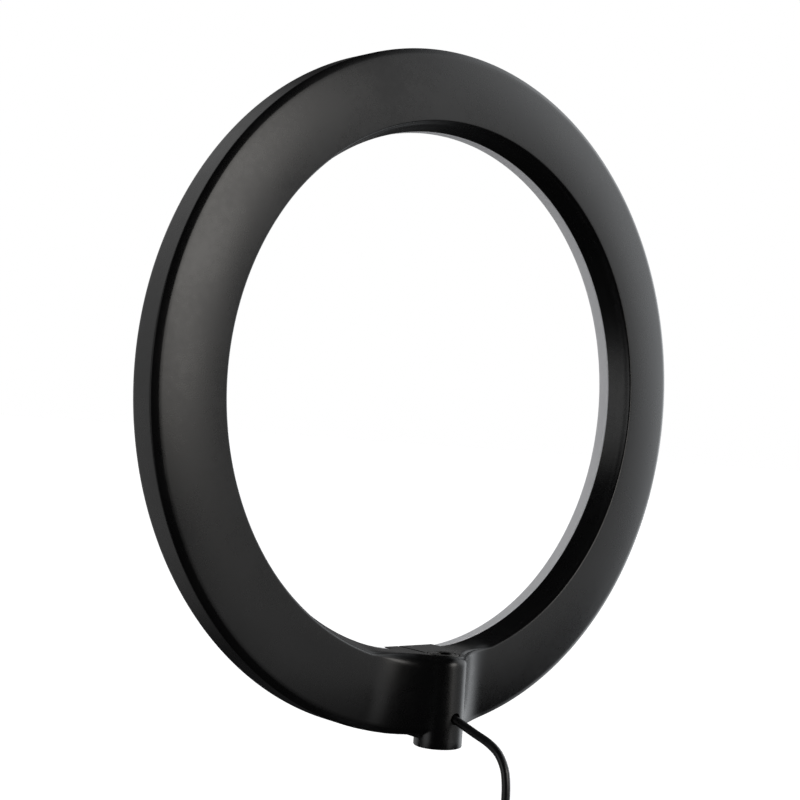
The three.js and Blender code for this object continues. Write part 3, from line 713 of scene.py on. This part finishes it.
    # Inside: behind the diffuser and boards.
    add(RING_INNER_R + 2, WRAP_Y)
    inside = RING_OUTER_R - OUTER_WALL
    for radius, depth in (
        (RING_INNER_R + 2, 7.5), (RING_INNER_R + 3.6, 9.5), (RING_INNER_R + 4.3, 11.3), (RING_INNER_R + 5, 12),
        (114.0, 11.9), (121.0, 11.5), (125.6, 10.9), (inside, 9.4), (inside, 0.2), (inside + 0.2, 0),
    ):  # fmt: skip
        add(radius, FRONT_Y + depth)
    return section


def make_housing():
    sections = [housing_section(c) for c in housing_columns()]
    count = len(sections[0])
    points = np.array(sections).reshape(-1, 3)
    obj = new_object("housing", points, grid_faces(len(sections), count, True), [HOUSING], angle=38.0)
    seat_r, seat_z = INSERT_R + GAP, PLATFORM_Z - INSERT_HEIGHT - GAP
    socket = [
        (0, seat_z), (seat_r, seat_z), (seat_r, COLLAR_BASE - GAP), (COLLAR_R + GAP, COLLAR_BASE - GAP),
        (COLLAR_R + GAP, PLATFORM_Z + 1), (0, PLATFORM_Z + 1),
    ]  # fmt: skip
    cut(obj, [
        rod("Z", (0, 0), seat_r, -1, INSERT_HEIGHT + GAP, 64),
        turned("socket", socket, 64, closed=False),
        rod("Z", (0, 0), CHANNEL_R, CHANNEL_BOTTOM, CHANNEL_TOP),
    ], angle=38.0)  # fmt: skip
    cut(obj, [
        rod("Y", (0, EXIT_Z), EXIT_HOLE_R, 0.5, COLUMN_R + 1),
        box_tool(-4, 4, BACK_Y - 2.5, -0.3, 14, 22),
    ], angle=38.0)  # fmt: skip
    return obj


piece(make_housing(), "light", "housing_plastic", "rear_housing")

# ---- Diffuser, boards and LEDs ----


def make_diffuser():
    outside = RING_OUTER_R - OUTER_WALL - GAP
    tongue = RING_INNER_R + 2 + GAP
    thick = DIFFUSER_THICKNESS
    profile = [
        *arc_points(RING_INNER_R + 1.2, 1.2, 1.2, 180, 270, 6), (105.0, 0), (114.0, 0), (122.0, 0),
        *arc_points(outside - 0.8, 0.8, 0.8, 270, 360, 5), (outside, 5), (outside - thick, 5),
        (outside - thick, thick + 0.6), (outside - thick - 0.6, thick), (tongue + 2.0, thick),
        (tongue + 1.4, thick + 0.6), (tongue + 1.4, 7.1), (tongue + 1.1, 7.4), (tongue, 7.4),
        (tongue, DIFFUSER_WRAP), (RING_INNER_R + 0.2, DIFFUSER_WRAP), (RING_INNER_R, DIFFUSER_WRAP - 0.2),
    ]  # fmt: skip
    return turned("diffuser_shell", profile, 360, "Y", (0, FRONT_Y, RING_Z), True, [DIFFUSER])


piece(make_diffuser(), "light", "diffuser_plastic", "diffuser")


def led_board(side):
    """A half-ring board with two rows of packaged LEDs, every second one warm white."""
    points, faces, slots = [], [], []

    def shell(loops, material, caps=None):
        """Adds a closed shell. caps gives the faces of one end, when one polygon won't do."""
        start, size = len(points), len(loops[0])
        last = start + (len(loops) - 1) * size
        for loop in loops:
            points.extend(loop)
        made = grid_faces(len(loops), size, offset=start)
        caps = caps or [tuple(range(size))]
        made += [tuple(start + k for k in cap)[::-1] for cap in caps]
        made += [tuple(last + k for k in cap) for cap in caps]
        faces.extend(made)
        slots.extend([material] * len(made))

    steps = 72
    turns = np.linspace(-math.pi / 2 + 0.008, math.pi / 2 - 0.008, steps + 1)
    front, back = FRONT_Y + BOARD_FRONT, FRONT_Y + BOARD_FRONT + BOARD_THICKNESS
    outline = [(BOARD_OUTER_R, t) for t in turns] + [(BOARD_INNER_R, t) for t in turns[::-1]]
    size = len(outline)
    shell(
        [[(side * r * math.cos(t), y, RING_Z + r * math.sin(t)) for r, t in outline] for y in (front, back)],
        0, [(i, i + 1, size - 2 - i, size - 1 - i) for i in range(steps)],
    )  # fmt: skip
    for row, radius in enumerate(LED_ROWS):
        for i in range(LEDS_PER_ROW):
            angle = -math.pi / 2 + math.pi * (i + 0.5) / LEDS_PER_ROW
            out = np.array((side * math.cos(angle), 0, math.sin(angle)))
            across = np.array((-side * math.sin(angle), 0, math.cos(angle)))
            centre = radius * out + np.array((0, front, RING_Z))

            def level(width, height, corner, y):
                flat = rounded_loop(width, height, corner, 2)
                return [centre + u * out + v * across + np.array((0, y, 0)) for u, v in flat]

            shell([level(2.8, 3.5, 0.2, 0.05), level(2.8, 3.5, 0.2, -0.7), level(2.6, 3.3, 0.2, -0.8),
                   level(2.2, 2.9, 0.5, -0.8), level(2.0, 2.7, 0.5, -0.66)], 1)  # fmt: skip
            shell([level(1.98, 2.68, 0.5, -0.5), level(1.98, 2.68, 0.5, -0.7)], 2 + (i + row) % 2)
    name = "led_board_left_fine" if side > 0 else "led_board_right_fine"
    return new_object(name, points, faces, [BOARD_WHITE, LEAD_WHITE, PHOSPHOR_WARM, PHOSPHOR_COOL], slots)


for side, node in ((1, "led_board_left"), (-1, "led_board_right")):
    board = led_board(side)
    holes = []
    for k in range(SCREWS_PER_HALF):
        angle = math.radians(-90 + 180 * (k + 0.5) / SCREWS_PER_HALF)
        place = (side * SCREW_CIRCLE_R * math.cos(angle), RING_Z + SCREW_CIRCLE_R * math.sin(angle))
        holes.append(rod("Y", place, 1.3, FRONT_Y + 7, FRONT_Y + 12, 20))
    cut(board, holes)
    piece(board, "light", "board_white", node)

# ---- Threaded inserts ----

THREAD_PITCH = 1.27


def threaded(name, outside, low_z, high_z):
    """An insert turned from bar: an outside profile from low to high, and a real helical thread inside."""
    count = int((high_z - low_z) / THREAD_PITCH * 10)
    heights = np.linspace(high_z - 0.3, low_z + 0.3, count)
    inside = [(THREAD_R + 0.1, high_z)] + [(THREAD_R, h) for h in heights] + [(THREAD_R + 0.1, low_z)]
    profile = outside + inside

    def wave(turn, index):
        if not len(outside) + 1 <= index < len(profile) - 1:
            return 0.0
        height = profile[index][1]
        phase = (height / THREAD_PITCH - turn / (2 * math.pi)) % 1.0
        return -0.5 + 0.5 * abs(2 * phase - 1)

    return turned(name, profile, 64, "Z", (0, 0, 0), True, [INSERT], wave, angle=50.0)


def stand_insert():
    outside = [
        (THREAD_R + 0.4, 0.0), (INSERT_R - 0.4, 0.0), (INSERT_R, 0.4), (INSERT_R, 2.9), (INSERT_R - 0.6, 3.2),
        (INSERT_R - 0.6, 3.8), (INSERT_R, 4.1), (INSERT_R, INSERT_HEIGHT - 0.2),
        (INSERT_R - 0.2, INSERT_HEIGHT),
    ]  # fmt: skip
    return threaded("stand_insert_fine", outside, 0.0, INSERT_HEIGHT)


def holder_insert():
    foot, base, top = PLATFORM_Z - INSERT_HEIGHT, COLLAR_BASE, COLLAR_BASE + COLLAR_HEIGHT
    outside = [
        (INSERT_R - 0.4, foot), (INSERT_R - 0.2, foot + 0.2), (INSERT_R - 0.2, base), (COLLAR_R - 0.1, base),
        (COLLAR_R, base + 0.1), (COLLAR_R, top - 0.4), (COLLAR_R - 0.12, top - 0.12), (COLLAR_R - 0.4, top),
        (COLLAR_R - 1.2, top), (COLLAR_R - 1.35, top - 0.15), (COLLAR_R - 1.7, top - 0.15),
        (COLLAR_R - 1.85, top), (THREAD_R + 0.45, top),
    ]  # fmt: skip
    return threaded("holder_insert_fine", outside, foot, top)


piece(stand_insert(), "light", "insert_brass", "stand_insert")
piece(holder_insert(), "light", "insert_brass", "holder_insert")

# ---- Coil tie ----


def tie():
    """A hook-and-loop strap round the turns, with its free end lapped over the outside."""
    slack = 0.7
    middle = COIL_X - (TURN_R - (2 * TURN_PITCH + slack) / 2)
    width = 2 * TURN_PITCH + 2 * (CORD_R + 0.2 + GAP) + slack
    height = 3 * TURN_PITCH + 2 * (CORD_R + GAP)
    centre_z = SURFACE_Z + TIE_THICKNESS + height / 2

    def ring(offset, y):
        flat = rounded_loop(width + 2 * offset, height + 2 * offset, 0.7 + offset, 8)
        return np.array([(middle + u, y, centre_z + v) for u, v in flat])

    def band(name, inside, outside, y0, y1, span=None):
        section = [
            (inside + 0.05, y0), (outside - 0.12, y0), (outside, y0 + 0.2), (outside, (y0 + y1) / 2),
            (outside, y1 - 0.2), (outside - 0.12, y1), (inside + 0.05, y1), (inside, (y0 + y1) / 2),
        ]  # fmt: skip
        rings = np.array([ring(o, y) for o, y in section])
        if span is None:
            return new_object(name, rings.reshape(-1, 3), grid_faces(*rings.shape[:2], True), [STRAP])
        return lofted(name, [rings[:, k] for k in range(*span)], [STRAP])

    loop = band("strap", 0.0, 0.42, COIL_Y - 4, COIL_Y + 4)
    lap = band("lap", 0.44, 0.72, COIL_Y - 3.8, COIL_Y + 3.8, (5, 24))
    return joined("coil_strap", [loop, lap])


strap = tie()
clean(strap)
piece(strap, "light", "strap_fabric", "coil_tie")

# ---- In-line controller ----


def controller_loop(inset, z):
    """The controller's rounded outline at a height, moved inwards by the inset."""
    length, width = CONTROLLER["length"] - 2 * inset, CONTROLLER["width"] - 2 * inset
    flat = rounded_loop(length, width, max(4.0 - inset, 0.6), 8)
    return np.array([(CONTROLLER["x"] + u, CONTROLLER["y"] + v, SURFACE_Z + z) for u, v in flat])


def button_x(index):
    return CONTROLLER["x"] + (index - 1.5) * BUTTON_PITCH


def relief_bores():
    axis = (CONTROLLER["y"], CONTROLLER_AXIS_Z)
    return [rod("X", axis, 2.6, x - 3, x + 3, 32) for x in (CONTROLLER_X0, CONTROLLER_X1)]


def controller_bottom():
    wall, rim = CONTROLLER["wall"], PARTING_Z - GAP / 2
    loops = [controller_loop(i, z) for i, z in (
        (3.0, 0.0), (1.4, 0.0), (0.7, 0.15), (0.2, 0.6), (0.0, 1.3), (0.0, rim - 0.35), (0.2, rim),
        (wall, rim), (wall, wall + 0.4), (wall + 0.4, wall), (wall + 3, wall),
    )]  # fmt: skip
    obj = lofted("controller_base", loops, [CONTROLLER_BLACK])
    cut(obj, relief_bores())
    screws = [(x, CONTROLLER["y"] + 5.6) for x in (CONTROLLER_X0 + 4.2, CONTROLLER_X1 - 4.2)]
    return cut(obj, [rod("Z", place, 1.9, SURFACE_Z - 1, SURFACE_Z + 1.1, 32) for place in screws])


def controller_top():
    wall, rim, height = CONTROLLER["wall"], PARTING_Z + GAP / 2, CONTROLLER["height"]
    loops = [controller_loop(i, z) for i, z in (
        (wall + 3, height - wall), (wall + 0.4, height - wall), (wall, height - wall - 0.4), (wall, rim),
        (0.2, rim), (0.0, rim + 0.35), (0.0, height - 2.0), (0.12, height - 1.3), (0.45, height - 0.7),
        (1.0, height - 0.25), (1.8, height), (3.4, height), (3.7, height - 0.3), (5.4, height - 0.3),
    )]  # fmt: skip
    obj = lofted("controller_cover", loops, [CONTROLLER_BLACK])
    cut(obj, [
        rod("Z", (button_x(i), CONTROLLER["y"]), BUTTON_R + GAP, SURFACE_Z + 8, SURFACE_Z + height + 1)
        for i in range(4)
    ])  # fmt: skip
    return cut(obj, relief_bores())


piece(controller_bottom(), "light", "controller_plastic", "controller_bottom")
piece(controller_top(), "light", "controller_plastic", "controller_top")


MARK_FOOT, MARK_LIFT = -0.25, 0.12  # a symbol's height below and above the button's dished face


def raised(outline, top):
    """A thin raised mark with a closed outline of (x, y)."""
    loop = np.array(outline, float)
    middle = loop.mean(0)
    shrunk = middle + (loop - middle) * 0.9
    levels = ((loop, MARK_FOOT), (loop, MARK_LIFT * 0.6), (shrunk, MARK_LIFT))
    return lofted("mark", [np.column_stack([p, np.full(len(p), top + z)]) for p, z in levels], [SYMBOL])


def raised_arc(cx, cy, radius, width, start, end, top):
    """A raised arc swept as one strip, or a whole ring."""
    angles = np.radians(np.linspace(start, end, 40))
    side = [(-width / 2, MARK_FOOT), (-width / 2, MARK_LIFT * 0.6), (-width / 2 + 0.06, MARK_LIFT)]
    section = side + [(-u, h) for u, h in side[::-1]]
    loops = []
    for a in angles:
        out = np.array((math.cos(a), math.sin(a), 0))
        loops.append(np.array([(cx, cy, top + h) + (radius + u) * out for u, h in section]))
    if end - start < 360:
        return lofted("mark", loops, [SYMBOL])
    faces = grid_faces(len(loops) - 1, len(section), True)
    return new_object("mark", np.concatenate(loops[:-1]), faces, [SYMBOL])


def button_marks(kind, x, y, top):
    """The symbol on a button: a power sign, a half-filled ring, a plus or a minus."""

    def bar(width, height, corner, dy=0.0):
        return raised([(x + u, y + dy + v) for u, v in rounded_loop(width, height, corner, 3)], top)

    if kind == "power":
        return [raised_arc(x, y, 1.1, 0.36, 125, 415, top), bar(0.36, 1.2, 0.12, 0.85)]
    if kind == "colour":
        return [raised_arc(x, y, 1.3, 0.3, 0, 360, top), raised(arc_points(x, y, 0.85, -90, 90, 15), top)]
    if kind == "dimmer":
        return [bar(2.2, 0.42, 0.15)]
    near, far = 0.21, 1.1
    plus = [(-near, -far), (near, -far), (near, -near), (far, -near), (far, near), (near, near)]
    plus += [(-u, -v) for u, v in plus]
    return [raised([(x + u, y + v) for u, v in plus], top)]


def make_button(index, kind):
    top = CONTROLLER["height"] + BUTTON_PROUD
    flange = CONTROLLER["height"] - CONTROLLER["wall"] - GAP
    foot = 3.6 + GAP + 2.8 + BUTTON_TRAVEL + GAP
    profile = [
        (0, foot), (1.2, foot), (1.3, foot + 0.1), (1.3, flange - 0.8), (BUTTON_R + 0.8, flange - 0.8),
        (BUTTON_R + 0.9, flange - 0.7), (BUTTON_R + 0.9, flange - 0.1), (BUTTON_R + 0.8, flange),
        (BUTTON_R, flange), (BUTTON_R, top - 0.6), *arc_points(BUTTON_R - 0.45, top - 0.45, 0.45, 0, 90, 5),
        (2.2, top - 0.03), (1.6, top - 0.12), (0.9, top - 0.17), (0, top - 0.18),
    ]  # fmt: skip
    x, y = button_x(index), CONTROLLER["y"]
    cap = turned("cap", profile, 48, "Z", (x, y, SURFACE_Z), False, [BUTTON_GREY])
    return joined("button_" + kind + "_cap", [cap, *button_marks(kind, x, y, SURFACE_Z + top - 0.14)])


for index, kind in enumerate(("power", "colour", "brighter", "dimmer")):
    made = make_button(index, kind)
    made.data.set_sharp_from_angle(angle=math.radians(32))
    piece(made, kind + "_button", "button_rubber", "button_" + kind)


def ribs(count, first, radius, taper, rise, groove):
    """Profile points of the ribs on a tapered relief, from (radius, height) at each rib's foot."""
    points = []
    for k in range(count):
        a = first + k * 2.1
        r0, r1 = (radius + taper * (a + d - first) for d in (0.0, 1.2))
        points += [(r0 - 0.05, a), (r0 + rise, a + 0.12), (r1 + rise, a + 1.1), (r1 - 0.05, a + 1.22),
                   (r1 - groove, a + 1.3), (r1 - groove, a + 1.95)]  # fmt: skip
    return points


def relief_sleeve(name, x_face, direction):
    """A tapered strain relief with bending slots, its neck held in the shells' end wall."""
    bore, end = CORD_R + 0.03, -RELIEF_LENGTH
    profile = [
        (bore, end + 0.1), (CORD_R + 0.5, end), (CORD_R + 0.75, end + 0.2),
        *ribs(5, end + 0.9, CORD_R + 0.8 + 0.7 * 0.9 / RELIEF_LENGTH, 0.7 / RELIEF_LENGTH, 0.03, 0.42),
        (3.0, -GAP - 0.9), (3.1, -GAP - 0.7), (3.1, -GAP), (2.3, -GAP), (2.3, 1.9), (3.2, 1.9), (3.2, 3.4),
        (bore, 3.4),
    ]  # fmt: skip
    profile = [(r, direction * h) for r, h in profile]
    return turned(name, profile, 40, "X", (x_face, CONTROLLER["y"], CONTROLLER_AXIS_Z), True, [RELIEF])


reliefs = [
    piece(relief_sleeve("relief_sleeve_in", CONTROLLER_X0, 1), "light", "relief_rubber", "relief_in"),
    piece(relief_sleeve("relief_sleeve_out", CONTROLLER_X1, -1), "light", "relief_rubber", "relief_out"),
]

# ---- Plug ----


def plug_loop(x, width, height, corner, steps=6, dy=0.0, dz=0.0):
    """A rounded outline across the plug at x."""
    flat = rounded_loop(width, height, corner, steps)
    return np.array([(x, PLUG_Y + dy + u, PLUG_AXIS_Z + dz + v) for u, v in flat])


def plug_body():
    """The grip, with five grooves across it and a pocket for the metal shell."""
    stations = [(0, 14.6, 6.6, 1.6), (0.15, 15.4, 7.4, 1.9), (0.6, 15.9, 7.9, 2.1), (4.5, 16, 8, 2.2)]
    for k in range(5):
        x = 5.6 + k * 1.9
        stations += [(x, 16, 8, 2.2), (x + 0.15, 15.3, 7.6, 2.1)]
        stations += [(x + 0.75, 15.3, 7.6, 2.1), (x + 0.9, 16, 8, 2.2)]
    stations += [(16, 15.9, 7.9, 2.3), (18, 15.0, 7.6, 2.8), (19.8, 13.0, 7.2, 3.2), (21.2, 10.4, 6.8, 3.2)]
    stations.append((PLUG_X1 - PLUG_X0, 8.2, 6.4, 3.0))
    obj = lofted("plug_body", [plug_loop(PLUG_X0 + x, *size) for x, *size in stations], [OVERMOULD])
    return cut(obj, [lofted("pocket", [plug_loop(PLUG_X0 + x, 12.5, 5.0, 0.5) for x in (-1, 5)])])


def plug_relief():
    profile = [
        (0, 0.0), (CORD_R + 0.35, 0.0), (CORD_R + 0.55, 0.2),
        *ribs(4, 0.9, CORD_R + 0.65 + 0.08 * 0.9, 0.08, 0.0, 0.4), (3.0, 9.3), (3.0, 9.7), (0, 9.7),
    ]  # fmt: skip
    profile = [(r, -h) for r, h in profile]
    return turned("plug_relief_sleeve", profile, 40, "X", (PLUG_END_X, PLUG_Y, PLUG_AXIS_Z), False, [RELIEF])


def plug_shell():
    """The metal shell, with the two pairs of windows that hold it in a socket."""
    outer = [plug_loop(x, 12 - i, 4.5 - i, 0.55) for x, i in (
        (PLUG_X0 + 4.7, 0), (SHELL_X0 + 0.25, 0), (SHELL_X0 + 0.05, 0.12), (SHELL_X0, 0.3))]  # fmt: skip
    inner = [plug_loop(x, 11.4, 3.9, 0.3) for x in (SHELL_X0, PLUG_X0 + 4.7)]
    loops = outer + inner
    faces = grid_faces(len(loops), len(loops[0]), True)
    obj = new_object("plug_shell", np.concatenate(loops), faces, [USB_STEEL])
    windows = []
    for y in (PLUG_Y - 2.9, PLUG_Y + 2.9):
        for z in (PLUG_AXIS_Z - 2.85, PLUG_AXIS_Z + 1.65):
            windows.append(box_tool(SHELL_X0 + 4.6, SHELL_X0 + 6.9, y - 1.2, y + 1.2, z, z + 1.2))
    return cut(obj, windows)


def plug_tongue():
    """The white tongue with its four contacts."""
    ends = ((SHELL_X0 + 0.6, 0.5), (SHELL_X0 + 0.9, 0), (PLUG_X0 + 4.4, 0))
    base = lofted("tongue", [plug_loop(x, 10.6 - i, 1.7 - i, 0.2, 3, dz=-0.75) for x, i in ends], [TONGUE])
    contacts = []
    for k, reach in enumerate((7.4, 6.4, 6.4, 7.4)):
        dy = (k - 1.5) * (2.0 if k in (1, 2) else 2.333)
        ends = ((SHELL_X0 + 1.2, 0.08), (SHELL_X0 + 1.5, 0), (SHELL_X0 + 1.5 + reach, 0))
        loops = [plug_loop(x, 1.0, 0.16 - i, 0.06, 2, dy, 0.12) for x, i in ends]
        contacts.append(lofted("contact", loops, [GOLD]))
    return joined("plug_tongue", [base, *contacts])


plug_pieces = [
    piece(plug_body(), "light", "overmould_plastic", "usb_overmould"),
    piece(plug_relief(), "light", "relief_rubber", "plug_relief"),
    piece(plug_shell(), "light", "usb_steel", "usb_shell"),
    piece(plug_tongue(), "light", "tongue_plastic", "usb_tongue"),
]

round(route_length(MAIN_LINE), 3)  # fmt: skip
round(route_length(TAIL_LINE), 3)  # fmt: skip

# ---- Studio ----


def direction(azimuth, elevation):
    """Unit vector; azimuth 0 is +Y and 90 is +X."""
    a, e = math.radians(azimuth), math.radians(elevation)
    return (math.sin(a) * math.cos(e), math.cos(a) * math.cos(e), math.sin(e))


WHITE, WARM, COLD = (1.0, 1.0, 1.0), (1.0, 0.97, 0.93), (0.94, 0.97, 1.0)
AMBIENT = (0.02, 0.02, 0.021)
# Soft boxes as (azimuth, elevation, inner and outer half angle, strength, colour, vertical stretch).
SOFT_BOXES = [
    (-11, 15.5, 5, 21, 3.7, WARM, 0.77),
    (-42, 26, 16, 30, 0.5, WHITE, 0.5),
    (-21, -20, 5, 17, 0.6, WHITE, 1.1),
    (-85, 20, 6, 46, 1.5, COLD, 1.0),
    (-100, -10, 8, 30, 0.9, COLD, 1.0),
    (-140, 10, 3, 14, 0.15, WHITE, 0.8),
    (100, 0, 8, 26, 1.0, WHITE, 0.9),
    (172, 8, 18, 40, 0.58, WHITE, 0.8),
]


def make_world():
    """The soft boxes and a little ambient light, as one background."""
    world = bpy.data.worlds.new("studio")
    world.use_nodes = True
    scene.world = world
    tree = world.node_tree
    tree.nodes.clear()

    def vector(operation, *values, scale=None):
        node = tree.nodes.new("ShaderNodeVectorMath")
        node.operation = operation
        for socket, value in zip(node.inputs, values):
            if isinstance(value, bpy.types.NodeSocket):
                tree.links.new(value, socket)
            else:
                socket.default_value = value
        if scale is not None:
            tree.links.new(scale, node.inputs["Scale"])
        return node.outputs["Value" if operation == "DOT_PRODUCT" else "Vector"]

    coordinate = tree.nodes.new("ShaderNodeTexCoord").outputs["Generated"]
    total = AMBIENT
    for azimuth, elevation, inner, outer, strength, tint, stretch in SOFT_BOXES:
        towards = Vector(direction(azimuth, elevation))
        towards.z *= stretch
        squashed = vector("NORMALIZE", vector("MULTIPLY", coordinate, (1, 1, stretch)))
        ramp = tree.nodes.new("ShaderNodeMapRange")
        ramp.interpolation_type = "SMOOTHSTEP"
        ramp.inputs["From Min"].default_value = math.cos(math.radians(outer))
        ramp.inputs["From Max"].default_value = math.cos(math.radians(inner))
        ramp.inputs["To Max"].default_value = strength
        tree.links.new(vector("DOT_PRODUCT", squashed, towards.normalized()), ramp.inputs["Value"])
        total = vector("ADD", total, vector("SCALE", tint, scale=ramp.outputs["Result"]))
    background = tree.nodes.new("ShaderNodeBackground")
    tree.links.new(total, background.inputs["Color"])
    output = tree.nodes.new("ShaderNodeOutputWorld")
    tree.links.new(background.outputs[0], output.inputs["Surface"])


def glow(name, strength, albedo):
    material = bpy.data.materials.new(name)
    material.use_nodes = True
    shader = material.node_tree.nodes["Principled BSDF"]
    shader.inputs["Base Color"].default_value = (albedo, albedo, albedo, 1)
    shader.inputs["Roughness"].default_value = 0.9
    shader.inputs["Specular IOR Level"].default_value = 0.0
    shader.inputs["Emission Color"].default_value = (1, 1, 1, 1)
    shader.inputs["Emission Strength"].default_value = strength
    return material


def make_studio():
    """A pale floor and a white backdrop dome all round. Both are only there to be seen; the light comes from
    the soft boxes."""
    turns = np.radians(np.arange(0, 360, 5))
    floor_rings = [
        [(r * math.cos(a), r * math.sin(a), SURFACE_Z - 0.15) for a in turns]
        for r in (200.0, 1000.0, 4000.0, 13000.0)
    ]
    faces = [*grid_faces(len(floor_rings), len(turns)), tuple(range(len(turns)))[::-1]]
    floor = new_object("floor", np.concatenate(floor_rings), faces, [glow("floor", 0.9, 0.6)])
    dome_profile = arc_points(0, 0, 14000.0, -90, 90, 36)
    dome = turned("backdrop", dome_profile, 48, closed=False, materials=[glow("backdrop", 1.0, 0.0)])
    for obj in (floor, dome):
        obj.visible_diffuse = obj.visible_glossy = obj.visible_transmission = obj.visible_shadow = False


make_world()
make_studio()
